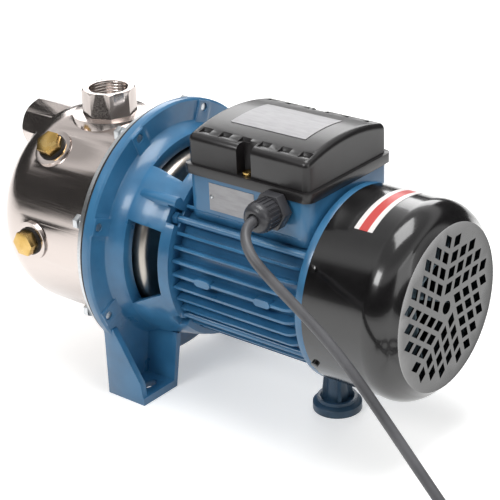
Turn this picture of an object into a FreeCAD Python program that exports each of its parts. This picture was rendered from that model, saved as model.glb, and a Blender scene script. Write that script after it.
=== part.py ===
# Self-priming jet pump: stainless casing, cast lantern bracket, finned motor.
# Millimetres. +X runs along the shaft towards the fan, +Z is up. The origin is on the
# floor, midway between the two holes of the lantern feet.
import FreeCAD
import Part
import math
import os
import re
import Sketcher

# Driving dimensions. Places along the shaft, named _at, are measured from the joint
# face between the pump casing and the lantern, towards the fan.
SIZES = {
    # Frame
    "shaft_height": 108,
    "foot_hole_setback": 23,
    # Pump casing, drawn from sheet
    "casing_inset": 20,
    "casing_length": 123,
    "casing_corner": 38,
    "casing_wall": 2,
    "casing_rim_inset": 3,
    "backing_thickness": 4.5,
    "gasket_thickness": 1.5,
    "gasket_inset": 1,
    # Threaded sockets for G1 pipe
    "socket_across_flats": 38.5,
    "socket_bore": 15.15,
    "thread_depth": 17,
    "port_bore": 13.5,
    "socket_edge": 20.1,
    "suction_reach": 15,
    "suction_drop": 24,
    "discharge_at": 57.8,
    "discharge_over_flange": 0.9,
    "discharge_pad_radius": 29,
    # Filler and drain plugs
    "plug_at": 71,
    "filler_angle": 52,
    "drain_angle": 0,
    "plug_pad_radius": 15,
    "plug_pad_rise": 2.5,
    "plug_flats": 17,
    "plug_head": 7,
    "plug_thread": 6.4,
    "plug_washer_radius": 10.8,
    "plug_washer_thick": 1.5,
    # Casing bolts
    "bolt_inset": 6.5,
    "bolt_first_angle": 20.3,
    "bolt_radius": 3,
    "bolt_flats": 10,
    "bolt_head": 4,
    "bolt_end_at": 8.3,
    # Seal plate, a drawn cup that reaches into the lantern
    "plate_rim_inset": 12,
    "plate_cup_inset": 34,
    "plate_sheet": 1.5,
    "plate_cup_depth": 30,
    "seal_cup_radius": 15,
    "seal_cup_depth": 7,
    # Lantern bracket, one casting with both feet
    "flange_radius": 100,
    "flange_thickness": 8,
    "pad_rise": 1.3,
    "pad_width": 13,
    "bell_start_inset": 16.5,
    "bell_end_radius": 70.5,
    "bell_bore_end": 65,
    "bell_shoulder": 9.1,
    "bulkhead_at": 50,
    "bulkhead_thickness": 5,
    "lantern_length": 57,
    "window_start": 21,
    "window_end": 49,
    "top_window_half": 40,
    "side_window_top": 31,
    "side_window_slope": 4.5,
    "side_window_low": 31,
    "foot_outer": 82.5,
    "foot_inner": 45.5,
    "foot_length": 36,
    "foot_thickness": 6,
    "foot_slot_width": 9,
    "foot_slot_length": 14,
    "foot_slot_place": 63,
    # Shaft and bearings: 17 x 40 x 12 in front, 15 x 35 x 11 behind
    "impeller_seat": 6,
    "seal_seat_radius": 7,
    "front_seat": 8.5,
    "rotor_seat": 11,
    "rear_seat": 7.5,
    "fan_seat": 6,
    "front_bearing_outer": 20,
    "front_bearing_width": 12,
    "rear_bearing_outer": 17.5,
    "rear_bearing_width": 11,
    "rear_bearing_at": 159,
    "ball_radius": 3.2,
    "fit_gap": 0.05,
    # Motor
    "housing_bore": 55,
    "housing_root": 58.5,
    "fin_tip": 66,
    "fin_thickness": 2.2,
    "fin_count": 40,
    "fin_start": 57.4,
    "front_groove": 5,
    "fin_end": 165,
    "housing_end": 168,
    "stack_at": 80,
    "stack_length": 62,
    "rotor_radius": 30,
    "air_gap": 0.4,
    "winding_reach": 14,
    "rod_circle": 64,
    "rod_radius": 2.5,
    "rod_fin_gap": 4,
    "rod_channel": 1.1,
    "rod_head": 4,
    "rod_pocket_half": 6,
    # Rear shield and fan cover
    "shield_at": 170,
    "shield_radius": 71,
    "shield_edge": 6.3,
    "spigot_length": 8,
    "cover_screw_radius": 1.5,
    "cover_wall": 1.2,
    "cover_straight_end": 222,
    "cover_end": 245.6,
    "cover_face_radius": 59.8,
    "grille_pitch": 11,
    "grille_hole": 7.4,
    "grille_zone": 49.8,
    "grille_eye": 4.8,
    "fan_radius": 60,
    # Rear foot
    "rear_foot_at": 153.3,
    "rear_foot_radius": 18.2,
    # Terminal box
    "box_start": 60,
    "box_end": 167,
    "box_half": 47,
    "box_rise": 72.4,
    "box_depth": 11.9,
    "box_wall": 3.5,
    "seal_sheet": 1.2,
    "lip_overhang": 1.9,
    "lip_height": 7,
    "cover_side_height": 22.2,
    "cover_edge_round": 5.5,
    "cover_end_round": 4.6,
    "groove_width": 8.5,
    "groove_pitch": 17.2,
    "notch_width": 12.5,
    "notch_depth": 9,
    # Cable gland and cable
    "gland_at": 141,
    "gland_drop": 6.9,
    "gland_flats": 24,
    "gland_shoulder": 2.6,
    "gland_body_length": 8.4,
    "gland_nut_length": 17,
    "gland_nut_radius": 10.6,
    "cable_radius": 3.6,
    # Impeller
    "impeller_inset": 16,
    "impeller_eye": 20,
}

# Dimensions that follow the driving ones.
FOLLOWING = {
    "casing_radius": "flange_radius - casing_inset",
    "casing_rim_radius": "flange_radius - casing_rim_inset",
    "gasket_outer": "flange_radius - gasket_inset",
    "bolt_circle": "flange_radius - bolt_inset",
    "plate_rim_radius": "flange_radius - plate_rim_inset",
    "plate_cup_radius": "flange_radius - plate_cup_inset",
    "bell_start_radius": "flange_radius - bell_start_inset",
    "suction_end": "casing_length + suction_reach",
    "impeller_radius": "plate_cup_radius - impeller_inset",
    "suction_rise": "casing_radius - suction_drop",
    "plug_pad_reach": "casing_radius + plug_pad_rise",
    "discharge_top": "shaft_height + flange_radius + discharge_over_flange",
    "box_top": "shaft_height + box_rise",
    "box_floor": "box_top - box_depth",
    "gland_height": "box_top - gland_drop",
}

DOC = FreeCAD.newDocument("jet_pump")
SHEET = DOC.addObject("Spreadsheet::Sheet", "sizes")
for row, (alias, value) in enumerate(SIZES.items(), start=1):
    SHEET.set(f"A{row}", alias)
    SHEET.set(f"B{row}", str(value))
    SHEET.setAlias(f"B{row}", alias)
for row, (alias, formula) in enumerate(FOLLOWING.items(), start=len(SIZES) + 1):
    SHEET.set(f"A{row}", alias)
    SHEET.set(f"B{row}", "=" + formula)
    SHEET.setAlias(f"B{row}", alias)
DOC.recompute()

NODES = []
FACE = "(0 - foot_hole_setback)"
ORIGIN = FreeCAD.Vector(0, 0, 0)
ALONG_X = FreeCAD.Rotation(FreeCAD.Vector(0, 1, 0), 90)
TOWARDS_MINUS_X = FreeCAD.Rotation(FreeCAD.Vector(0, 1, 0), -90)
TOWARDS_MINUS_Y = FreeCAD.Rotation(FreeCAD.Vector(1, 0, 0), 90)


# Small tools for binding sizes, placing and joining


def named(formula):
    """The formula with each size read from the sheet."""
    def word(match):
        name = match.group()
        return "sizes." + name if name in SIZES or name in FOLLOWING else name
    return re.sub(r"[a-z_]+", word, str(formula))


def number(formula):
    return float(SHEET.evalExpression(named(formula)))


def bind(thing, prop, formula):
    thing.setExpression(prop, named(formula))


def place(thing, x="0", y="0", z="0", turn=None):
    if turn is not None:
        thing.Placement = FreeCAD.Placement(ORIGIN, turn)
    for axis, formula in zip("xyz", (x, y, z)):
        bind(thing, "Placement.Base." + axis, formula)
    return thing


def along(at):
    """A place along the shaft, from the joint face."""
    return f"{FACE} + ({at})"


def node(thing, label):
    thing.Label = label
    NODES.append(thing)
    return thing


def cylinder(name, radius, height, x="0", y="0", z="0", turn=None):
    thing = DOC.addObject("Part::Cylinder", name)
    bind(thing, "Radius", radius)
    bind(thing, "Height", height)
    return place(thing, x, y, z, turn)


def box(name, length, width, height, x, y, z, turn=None):
    thing = DOC.addObject("Part::Box", name)
    bind(thing, "Length", length)
    bind(thing, "Width", width)
    bind(thing, "Height", height)
    return place(thing, x, y, z, turn)


def prism(name, sides, flats, height, x, y, z, turn=None):
    """A bar with 6 or 8 flats, sized across the flats."""
    thing = DOC.addObject("Part::Prism", name)
    thing.Polygon = sides
    bind(thing, "Circumradius", f"({flats}) / 2 / cos(180 / {sides})")
    bind(thing, "Height", height)
    return place(thing, x, y, z, turn)


def fuse(name, parts):
    thing = DOC.addObject("Part::MultiFuse", name)
    thing.Shapes = parts
    thing.Refine = True
    return thing


def cut(name, base, tool):
    thing = DOC.addObject("Part::Cut", name)
    thing.Base = base
    thing.Tool = tool
    thing.Refine = True
    return thing


def common(name, base, tool):
    thing = DOC.addObject("Part::Common", name)
    thing.Base = base
    thing.Tool = tool
    return thing


def group(name, parts):
    thing = DOC.addObject("Part::Compound", name)
    thing.Links = parts
    return thing


def mirrored(name, source):
    """The same piece on the +Y side."""
    thing = DOC.addObject("Part::Mirroring", name)
    thing.Source = source
    thing.Base = ORIGIN
    thing.Normal = FreeCAD.Vector(0, 1, 0)
    return thing


def arc_between(start, end, radius, side):
    """The short arc from start to end that bulges to the left (1) or right (-1)."""
    chord = end - start
    middle = (start + end) * 0.5
    left = FreeCAD.Vector(-chord.y, chord.x, 0).normalize()
    height = radius - math.sqrt(max(radius ** 2 - (chord.Length / 2) ** 2, 0))
    return Part.Arc(start, middle + left * (side * height), end)


def draw_loop(sketch, points):
    """A closed outline. A point is (u, v), or (u, v, radius, side) if an arc follows it."""
    spots = [FreeCAD.Vector(number(point[0]), number(point[1]), 0) for point in points]
    first = sketch.GeometryCount
    for index, point in enumerate(points):
        start = spots[index]
        end = spots[(index + 1) % len(points)]
        if len(point) == 2:
            sketch.addGeometry(Part.LineSegment(start, end), False)
        else:
            sketch.addGeometry(arc_between(start, end, number(point[2]), point[3]), False)
    rules = []
    formulas = []
    for index, point in enumerate(points):
        here = first + index
        before = first + (index - 1) % len(points)
        near = 1 if sketch.getPoint(here, 1).isEqual(spots[index], 1e-4) else 2
        far = 1 if sketch.getPoint(before, 1).isEqual(spots[index], 1e-4) else 2
        rules.append(Sketcher.Constraint("Coincident", before, far, here, near))
        for kind, axis, formula, place_at in (("DistanceX", -2, point[0], spots[index].x),
                                              ("DistanceY", -1, point[1], spots[index].y)):
            if formula == "0":
                rules.append(Sketcher.Constraint("PointOnObject", here, near, axis))
            else:
                formulas.append((sketch.ConstraintCount + len(rules), formula))
                rules.append(Sketcher.Constraint(kind, -1, 1, here, near, place_at))
        if len(point) == 4:
            formulas.append((sketch.ConstraintCount + len(rules), point[2]))
            rules.append(Sketcher.Constraint("Radius", here, number(point[2])))
    sketch.addConstraint(rules)
    for place_in_list, formula in formulas:
        bind(sketch, f"Constraints[{place_in_list}]", formula)


def new_body(name):
    return DOC.addObject("PartDesign::Body", name)


def origin_feature(body, role):
    return [item for item in body.Origin.OriginFeatures if item.Role == role][0]


def new_sketch(body, name, role, points):
    sketch = body.newObject("Sketcher::SketchObject", name)
    sketch.AttachmentSupport = (origin_feature(body, role), [""])
    sketch.MapMode = "FlatFace"
    draw_loop(sketch, points)
    return sketch


def turned(name, points, x=FACE, y="0", z="shaft_height", turn=None):
    """A body turned about its own X axis from an outline of (along, radius) points."""
    body = new_body(name)
    sketch = new_sketch(body, name + "_outline", "XZ_Plane", points)
    revolution = body.newObject("PartDesign::Revolution", name + "_turning")
    revolution.Profile = sketch
    revolution.ReferenceAxis = (sketch, ["H_Axis"])
    revolution.Angle = 360
    body.Tip = revolution
    return place(body, x, y, z, turn)


def plate(name, role, points, thickness, x="0", y="0", z="0"):
    """A body padded from an outline, towards +X from YZ_Plane and -Y from XZ_Plane."""
    body = new_body(name)
    sketch = new_sketch(body, name + "_outline", role, points)
    pad = body.newObject("PartDesign::Pad", name + "_pad")
    pad.Profile = sketch
    bind(pad, "Length", thickness)
    body.Tip = pad
    return place(body, x, y, z)


def round_the_axis(body, feature, name, count):
    pattern = body.newObject("PartDesign::PolarPattern", name)
    pattern.Originals = [feature]
    pattern.Axis = (origin_feature(body, "X_Axis"), [""])
    pattern.Angle = 360
    pattern.Occurrences = count
    body.Tip = pattern
    return pattern


def on_circle(radius, angle):
    """Y and Z of a place beside the shaft; 0 degrees is -Y and 90 degrees is up."""
    return f"0 - ({radius}) * cos({angle})", f"shaft_height + ({radius}) * sin({angle})"


# Pump side


def pump_casing():
    wall = "casing_wall"
    rim = "gasket_thickness"
    outer = turned("casing_outer", [
        (f"0 - {rim} - {wall}", "0"),
        (f"0 - {rim} - {wall}", "casing_radius"),
        ("casing_corner - casing_length", "casing_radius", "casing_corner", -1),
        ("0 - casing_length", "casing_radius - casing_corner"),
        ("0 - casing_length", "0")])
    inner = turned("casing_inner", [
        (f"0 - {rim}", "0"),
        (f"0 - {rim}", f"casing_radius - {wall}"),
        ("casing_corner - casing_length", f"casing_radius - {wall}", f"casing_corner - {wall}", -1),
        (f"{wall} - casing_length", "casing_radius - casing_corner"),
        (f"{wall} - casing_length", "0")])
    flange = cylinder("casing_flange", "casing_rim_radius", wall,
                      along(f"0 - {rim} - {wall}"), "0", "shaft_height", ALONG_X)
    outside = [outer, flange]
    inside = [inner]
    outside += [socket("discharge_socket", along("0 - discharge_at"), "shaft_height + 60",
                       "discharge_top - shaft_height - 60", None)]
    outside += [socket("suction_socket", along("0 - casing_length + 24"),
                       "shaft_height + suction_rise", "suction_end - casing_length + 24",
                       TOWARDS_MINUS_X)]
    pad_top = "casing_radius + 1.4"
    outside.append(cylinder("discharge_pad", "discharge_pad_radius", f"{pad_top} - 60",
                            along("0 - discharge_at"), "0", "shaft_height + 60"))
    inside.append(cylinder("discharge_pad_hollow", f"discharge_pad_radius - {wall}",
                           f"{pad_top} - {wall} - 55",
                           along("0 - discharge_at"), "0", "shaft_height + 55"))
    middle = "shaft_height + suction_rise"
    bores = [cylinder("discharge_thread", "socket_bore", "thread_depth + 5",
                      along("0 - discharge_at"), "0", "discharge_top - thread_depth"),
             cylinder("discharge_bore", "port_bore", "discharge_top - shaft_height",
                      along("0 - discharge_at"), "0", "shaft_height + 55"),
             cylinder("suction_thread", "socket_bore", "thread_depth + 5",
                      along("thread_depth - suction_end"), "0", middle, TOWARDS_MINUS_X),
             cylinder("suction_bore", "port_bore", "60", along("40 - suction_end"), "0",
                      middle, TOWARDS_MINUS_X)]
    threads = [cylinder("suction_spigot", "socket_bore + 2", "suction_end - thread_depth - 100",
                        along("0 - 100"), "0", middle, TOWARDS_MINUS_X)]
    for name, angle in (("filler", "filler_angle"), ("drain", "drain_angle")):
        y, z = on_circle("60", angle)
        for piece, radius, height, pieces in (
                ("pad", "plug_pad_radius", "plug_pad_reach - 60", outside),
                ("pad_hollow", f"plug_pad_radius - {wall}", f"plug_pad_reach - {wall} - 60",
                 inside)):
            boss = cylinder(f"{name}_{piece}", radius, height, along("0 - plug_at"), y, z)
            boss.Placement.Rotation = FreeCAD.Rotation(FreeCAD.Vector(1, 0, 0), 45)
            bind(boss, "Placement.Rotation.Angle", f"90 - {angle}")
            pieces.append(boss)
        for piece, radius, start, length, pieces in (
                ("nipple", "plug_thread + 2.5", "plug_pad_reach - 10", "10", threads),
                ("bore", "plug_thread + fit_gap", "60", "plug_pad_reach - 50", bores)):
            y_bar, z_bar = on_circle(start, angle)
            bar = cylinder(f"{name}_{piece}", radius, length, along("0 - plug_at"), y_bar, z_bar)
            bar.Placement.Rotation = FreeCAD.Rotation(FreeCAD.Vector(1, 0, 0), 45)
            bind(bar, "Placement.Rotation.Angle", f"90 - {angle}")
            pieces.append(bar)
    shell = cut("casing_shell", fuse("casing_outside", outside), fuse("casing_inside", inside))
    body = fuse("casing_with_threads", [shell] + threads)
    holes = bolt_holes("casing_flange_hole", "0 - 20", "30")
    return node(cut("pump_casing", body, fuse("casing_holes", bores + holes)), "pump_casing")


def socket(name, x, z, length, turn):
    """An eight-sided threaded socket with its outer corners turned off."""
    bar = prism(name + "_bar", 8, "socket_across_flats", length, x, "0", z, turn)
    round_bar = cylinder(name + "_round", "socket_edge + 0.9", length, x, "0", z, turn)
    eased = DOC.addObject("Part::Chamfer", name + "_eased")
    DOC.recompute()
    eased.Base = round_bar
    far = farthest_circle(round_bar, turn)
    eased.Edges = [(far, 1.6, 1.6)]
    return common(name, bar, eased)


def farthest_circle(bar, turn):
    """The number of the round edge at the open end of the bar."""
    direction = FreeCAD.Vector(0, 0, 1) if turn is None else turn.multVec(FreeCAD.Vector(0, 0, 1))
    edges = [(edge.CenterOfMass.dot(direction), index)
             for index, edge in enumerate(bar.Shape.Edges, start=1) if edge.isClosed()]
    return max(edges)[1]


def bolt_holes(name, start, length):
    holes = []
    for index in range(8):
        y, z = on_circle("bolt_circle", f"(bolt_first_angle + {45 * index})")
        holes.append(cylinder(f"{name}_{index}", "bolt_radius + 0.25", length, along(start),
                              y, z, ALONG_X))
    return holes


def casing_seals_and_bolts():
    ring = turned("gasket_sheet", [
        ("0 - gasket_thickness", "plate_rim_radius + 0.3"),
        ("0 - gasket_thickness", "gasket_outer"),
        ("0", "gasket_outer"),
        ("0", "plate_rim_radius + 0.3")])
    holes = fuse("gasket_holes", bolt_holes("gasket_hole", "0 - 10", "20"))
    node(cut("casing_gasket_ring", ring, holes), "casing_gasket")
    back = "0 - gasket_thickness - casing_wall"
    backing = turned("backing", [
        (f"{back} - backing_thickness", "casing_radius + 1"),
        (f"{back} - backing_thickness", "casing_rim_radius - 1.5"),
        (f"{back} - backing_thickness + 1.5", "casing_rim_radius"),
        (back, "casing_rim_radius"),
        (back, "casing_radius + 1")])
    holes = fuse("backing_holes", bolt_holes("backing_hole", "0 - 20", "30"))
    node(cut("backing_ring", backing, holes), "casing_backing_ring")
    head_at = f"{back} - backing_thickness"
    bolts = []
    for index in range(8):
        y, z = on_circle("bolt_circle", f"(bolt_first_angle + {45 * index})")
        head = prism(f"casing_bolt_head_{index}", 6, "bolt_flats", "bolt_head",
                     along(f"{head_at} - bolt_head"), y, z, ALONG_X)
        shank = cylinder(f"casing_bolt_shank_{index}", "bolt_radius",
                         f"bolt_end_at - ({head_at})", along(head_at), y, z, ALONG_X)
        bolts.append(fuse(f"casing_bolt_{index}", [head, shank]))
    node(group("casing_bolt_set", bolts), "casing_bolts")


def plug(name, angle):
    """A brass hexagon plug, screwed into the pad of the casing."""
    tilt = FreeCAD.Rotation(FreeCAD.Vector(1, 0, 0), 45)
    pieces = []
    head_at = "plug_pad_reach + plug_washer_thick"
    for piece, start in (("head", head_at), ("stem", "plug_pad_reach - 9")):
        y, z = on_circle(start, angle)
        if piece == "head":
            thing = prism(f"{name}_head", 6, "plug_flats", "plug_head", along("0 - plug_at"), y, z)
        else:
            thing = cylinder(f"{name}_stem", "plug_thread", f"9 + plug_washer_thick",
                             along("0 - plug_at"), y, z)
        thing.Placement.Rotation = tilt
        bind(thing, "Placement.Rotation.Angle", f"90 - {angle}")
        pieces.append(thing)
    node(fuse(f"{name}_plug", pieces), f"{name}_plug")
    y, z = on_circle("plug_pad_reach", angle)
    washer = cylinder(f"{name}_washer_disc", "plug_washer_radius", "plug_washer_thick",
                      along("0 - plug_at"), y, z)
    hole = cylinder(f"{name}_washer_hole", "plug_thread + fit_gap", "plug_washer_thick",
                    along("0 - plug_at"), y, z)
    for thing in (washer, hole):
        thing.Placement.Rotation = tilt
        bind(thing, "Placement.Rotation.Angle", f"90 - {angle}")
    return cut(f"{name}_washer", washer, hole)


def seal_plate():
    """The drawn cup behind the impeller, which carries the fixed half of the shaft seal."""
    sheet = "plate_sheet"
    depth = "plate_cup_depth"
    seat_end = f"{depth} + seal_cup_depth"
    return node(turned("seal_plate_cup", [
        (f"0 - {sheet}", f"plate_cup_radius - {sheet}"),
        (f"0 - {sheet}", "plate_rim_radius"),
        ("0", "plate_rim_radius"),
        ("0", "plate_cup_radius"),
        (f"{depth} - 6", "plate_cup_radius", "6", 1),
        (depth, "plate_cup_radius - 6"),
        (depth, f"seal_cup_radius + {sheet}"),
        (seat_end, f"seal_cup_radius + {sheet}"),
        (seat_end, "seal_seat_radius + 3"),
        (f"{seat_end} - {sheet}", "seal_seat_radius + 3"),
        (f"{seat_end} - {sheet}", "seal_cup_radius"),
        (f"{depth} - {sheet}", "seal_cup_radius"),
        (f"{depth} - {sheet}", "plate_cup_radius - 6", f"6 - {sheet}", -1),
        (f"{depth} - 6", f"plate_cup_radius - {sheet}")]), "seal_plate")


def shaft_seal():
    seat_at = "plate_cup_depth - 2"
    node(turned("seal_seat", [
        (seat_at, "seal_seat_radius + 1"),
        (seat_at, "seal_cup_radius - 0.02"),
        ("plate_cup_depth + seal_cup_depth - plate_sheet", "seal_cup_radius - 0.02"),
        ("plate_cup_depth + seal_cup_depth - plate_sheet", "seal_seat_radius + 1")]),
        "seal_stationary_seat")
    face = f"{seat_at} - fit_gap"
    bore = "seal_seat_radius"
    node(turned("seal_head", [
        (f"{face} - 4", bore), (f"{face} - 4", "seal_cup_radius - 2"),
        (face, "seal_cup_radius - 2"), (face, bore)]), "seal_rotating_ring")
    node(turned("seal_bellows", [
        (f"{face} - 18", bore), (f"{face} - 18", "seal_cup_radius - 1"),
        (f"{face} - 15", "seal_cup_radius - 1"), (f"{face} - 13", f"{bore} + 3"),
        (f"{face} - 7", f"{bore} + 3"), (f"{face} - 5", "seal_cup_radius - 1"),
        (f"{face} - 4", "seal_cup_radius - 1"), (f"{face} - 4", bore)]), "seal_bellows")


def impeller():
    """A closed impeller: two shrouds joined by six backward curved vanes."""
    body = new_body("impeller_body")
    hub = new_sketch(body, "impeller_section", "XZ_Plane", [
        ("0 - 13", "impeller_seat"), ("0 - 13", "impeller_seat + 4"),
        ("0 - 3", "impeller_seat + 7"), ("0 - 1", "impeller_radius"),
        ("1.2", "impeller_radius"), ("1.2", "impeller_seat + 9"),
        ("8", "impeller_seat + 6"), ("8", "impeller_seat")])
    turning = body.newObject("PartDesign::Revolution", "impeller_turning")
    turning.Profile = hub
    turning.ReferenceAxis = (hub, ["H_Axis"])
    turning.Angle = 360
    vane = new_sketch(body, "impeller_vane", "YZ_Plane", [
        ("impeller_eye - 3", "0", "impeller_radius * 0.62", 1),
        ("impeller_radius * 0.62", "impeller_radius * 0.78"),
        ("impeller_radius * 0.66", "impeller_radius * 0.74", "impeller_radius * 0.62", -1),
        ("impeller_eye - 0.6", "0 - 1")])
    pad = body.newObject("PartDesign::Pad", "impeller_vane_pad")
    pad.Profile = vane
    pad.Reversed = True
    bind(pad, "Length", "8")
    round_the_axis(body, pad, "impeller_vanes", 6)
    place(body, FACE, "0", "shaft_height")
    shroud = turned("impeller_front", [
        ("0 - 17", "impeller_eye"), ("0 - 17", "impeller_eye + 2"),
        ("0 - 11", "impeller_eye + 2.4"), ("0 - 8", "impeller_radius"),
        ("0 - 6.5", "impeller_radius"), ("0 - 9", "impeller_eye + 0.6")])
    node(fuse("impeller_whole", [body, shroud]), "impeller")
    nut = prism("impeller_nut_hex", 6, "13", "7", along("0 - 20"), "0", "shaft_height", ALONG_X)
    hole = cylinder("impeller_nut_hole", "4", "7", along("0 - 20"), "0", "shaft_height", ALONG_X)
    node(cut("impeller_nut_ring", nut, hole), "impeller_nut")


def diffuser():
    """The guide ring round the impeller, with eight return vanes and the ejector seat."""
    body = new_body("diffuser_body")
    outer = "plate_cup_radius - plate_sheet - 0.3"
    ring = new_sketch(body, "diffuser_section", "XZ_Plane", [
        ("0 - 22", "impeller_eye + 2.5"), ("0 - 22", "impeller_eye + 9"),
        ("0 - 18", "impeller_radius"), ("0 - 18", outer), ("6", outer),
        ("6", f"{outer} - 2.5"), ("0 - 12", f"{outer} - 2.5"),
        ("0 - 12", "impeller_eye + 4"), ("0 - 18", "impeller_eye + 2.5")])
    turning = body.newObject("PartDesign::Revolution", "diffuser_turning")
    turning.Profile = ring
    turning.ReferenceAxis = (ring, ["H_Axis"])
    turning.Angle = 360
    vane = new_sketch(body, "diffuser_vane", "YZ_Plane", [
        ("impeller_radius + 1.5", "0", "30", -1),
        (f"({outer} - 1) * cos(20)", f"({outer} - 1) * sin(20)"),
        (f"({outer} - 1) * cos(23)", f"({outer} - 1) * sin(23)", "28", 1),
        ("impeller_radius + 1.3", "1.5")])
    pad = body.newObject("PartDesign::Pad", "diffuser_vane_pad")
    pad.Profile = vane
    pad.Reversed = True
    bind(pad, "Length", "13")
    round_the_axis(body, pad, "diffuser_vanes", 8)
    node(place(body, FACE, "0", "shaft_height"), "diffuser")


def ejector():
    """The venturi tube, its suction elbow and the nozzle that feeds it."""
    tube = turned("ejector_tube", [
        ("0 - 22", "impeller_eye + 2.3"), ("0 - 17.4", "impeller_eye + 2.3"),
        ("0 - 17.4", "impeller_eye + 0.2"), ("0 - 22", "impeller_eye - 2"),
        ("0 - 40", "10"), ("0 - 66", "7"), ("0 - 78", "14"), ("0 - 106", "14"),
        ("0 - 106", "18"), ("0 - 74", "18"), ("0 - 62", "11"), ("0 - 42", "14"),
        ("0 - 26", "impeller_eye + 4"), ("0 - 22", "impeller_eye + 4")])
    neck = cylinder("ejector_neck", "15", "suction_rise", along("0 - 84"), "0", "shaft_height")
    arm = cylinder("ejector_arm", "socket_bore + 2", "25", along("0 - 75"), "0",
                   "shaft_height + suction_rise", TOWARDS_MINUS_X)
    neck_bore = cylinder("ejector_neck_bore", "12", "suction_rise - 2", along("0 - 84"), "0",
                         "shaft_height + 4")
    arm_bore = cylinder("ejector_arm_bore", "port_bore", "22", along("0 - 79"), "0",
                        "shaft_height + suction_rise", TOWARDS_MINUS_X)
    chamber = cylinder("ejector_chamber", "14", "27", along("0 - 105.5"), "0", "shaft_height",
                       ALONG_X)
    solid = fuse("ejector_solid", [tube, neck, arm])
    hollow = fuse("ejector_hollow", [neck_bore, arm_bore, chamber])
    node(cut("ejector_body", solid, hollow), "ejector_venturi")
    node(turned("ejector_jet", [
        ("0 - 112", "5"), ("0 - 112", "17"), ("0 - 106", "17"), ("0 - 106", "13.9"),
        ("0 - 98", "13.9"), ("0 - 96", "9"), ("0 - 80", "4.6"), ("0 - 80", "3.4")]),
        "ejector_nozzle")
    node(turned("ejector_ring", [
        ("0 - 109.5", "17.05"), ("0 - 109.5", "19.5"), ("0 - 107", "19.5"), ("0 - 107", "17.05")]),
        "ejector_seal_ring")


# Lantern bracket


def lantern_bracket():
    boss = "front_bearing_outer + 6"
    bearing_at = "bulkhead_at"
    bearing_end = "bulkhead_at + front_bearing_width"
    bell = turned("lantern_bell", [
        ("0", "plate_cup_radius + 3"), ("0", "flange_radius - 1"), ("1", "flange_radius"),
        ("flange_thickness - 1.5", "flange_radius"), ("flange_thickness", "flange_radius - 1.5"),
        ("flange_thickness", "bell_start_radius"),
        ("flange_thickness + pad_rise", "bell_start_radius - 1.5"),
        ("window_start - 2", "bell_start_radius - 5.5", "60", 1),
        ("window_start + 16", "plate_cup_radius + bell_shoulder"),
        ("lantern_length - 6", "bell_end_radius + 1.8"),
        ("lantern_length - 2", "bell_end_radius"),
        ("lantern_length", "bell_end_radius"),
        ("lantern_length", "housing_root - 3"),
        ("bulkhead_at + bulkhead_thickness", "housing_root - 5"),
        ("bulkhead_at + bulkhead_thickness", boss),
        (bearing_end, f"{boss} - 1"),
        (bearing_end, "front_bearing_outer"),
        (bearing_at, "front_bearing_outer"),
        (bearing_at, "front_seat + 4"),
        (f"{bearing_at} - 4", "front_seat + 4"),
        (f"{bearing_at} - 4", boss),
        ("bulkhead_at", f"{boss} + 3"),
        ("bulkhead_at", "bell_bore_end"),
        ("window_start + 11", "plate_cup_radius + 3")])
    pieces = [bell]
    pad_x = "pad_rise + 2"
    for index in range(8):
        angle = f"(bolt_first_angle + {45 * index})"
        y, z = on_circle("bell_start_radius - 3", angle)
        pad = box(f"bolt_pad_{index}", pad_x, "pad_width",
                  "flange_radius - bell_start_radius + 1.5",
                  along("flange_thickness - 2"),
                  f"{y} - pad_width / 2 * sin({angle})", f"{z} - pad_width / 2 * cos({angle})")
        pad.Placement.Rotation = FreeCAD.Rotation(FreeCAD.Vector(1, 0, 0), 45)
        bind(pad, "Placement.Rotation.Angle", f"90 - {angle}")
        pieces.append(pad)
    for name, angle in (("near", 43), ("far", 137)):
        y, z = on_circle("bell_end_radius + 3.5", angle)
        pieces.append(cylinder(f"tie_boss_{name}", "4.5", "lantern_length - 24", along("24"),
                               y, z, ALONG_X))
    foot = lantern_foot()
    pieces += foot + [mirrored(f"far_{piece.Name}", piece) for piece in foot]
    solid = fuse("lantern_solid", pieces)
    cuts = lantern_windows() + foot_slots() + bolt_holes("lantern_bolt_hole", "0 - 2", "18")
    cuts += rod_cuts("lantern_rod", "bulkhead_at", "lantern_length + 6", "rod_radius + 0.3")
    cuts += rod_pockets()
    cuts.append(cylinder("lantern_bore", "plate_cup_radius + 3", "20", along("0 - 20"), "0",
                         "shaft_height", ALONG_X))
    return node(cut("lantern", solid, fuse("lantern_cuts", cuts)), "lantern_bracket")


def lantern_foot():
    """The near foot: front plate, outer gusset, inner web and the pad on the floor."""
    outer = "0 - foot_outer"
    inner = "0 - foot_inner"
    front = plate("foot_front", "YZ_Plane", [
        (outer, "0"), (inner, "0"), (f"{inner} + 6", "shaft_height - 74"),
        (f"{inner} + 8", "shaft_height - 56"), ("3 - foot_slot_place", "shaft_height - 38"),
        (f"{outer} - 1.5", "shaft_height - 46"), (outer, "shaft_height - 58")],
        "flange_thickness", FACE)
    web = plate("foot_web", "YZ_Plane", [
        (f"{inner} - 4", "0"), (inner, "0"), (f"{inner} + 7.6", "shaft_height - 66"),
        (f"{inner} + 3.2", "shaft_height - 64")],
        "foot_length", FACE)
    gusset = plate("foot_gusset", "XZ_Plane", [
        ("0", "0"), ("foot_length", "0"), ("foot_length - 2.5", "17"),
        ("flange_thickness + 1", "shaft_height - 52"), ("0", "shaft_height - 52")],
        "5", FACE, f"{outer} + 5", "0")
    pad = box("foot_pad", "foot_length", "foot_outer - foot_inner", "foot_thickness",
              FACE, outer, "0")
    return [front, web, gusset, pad]


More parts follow.
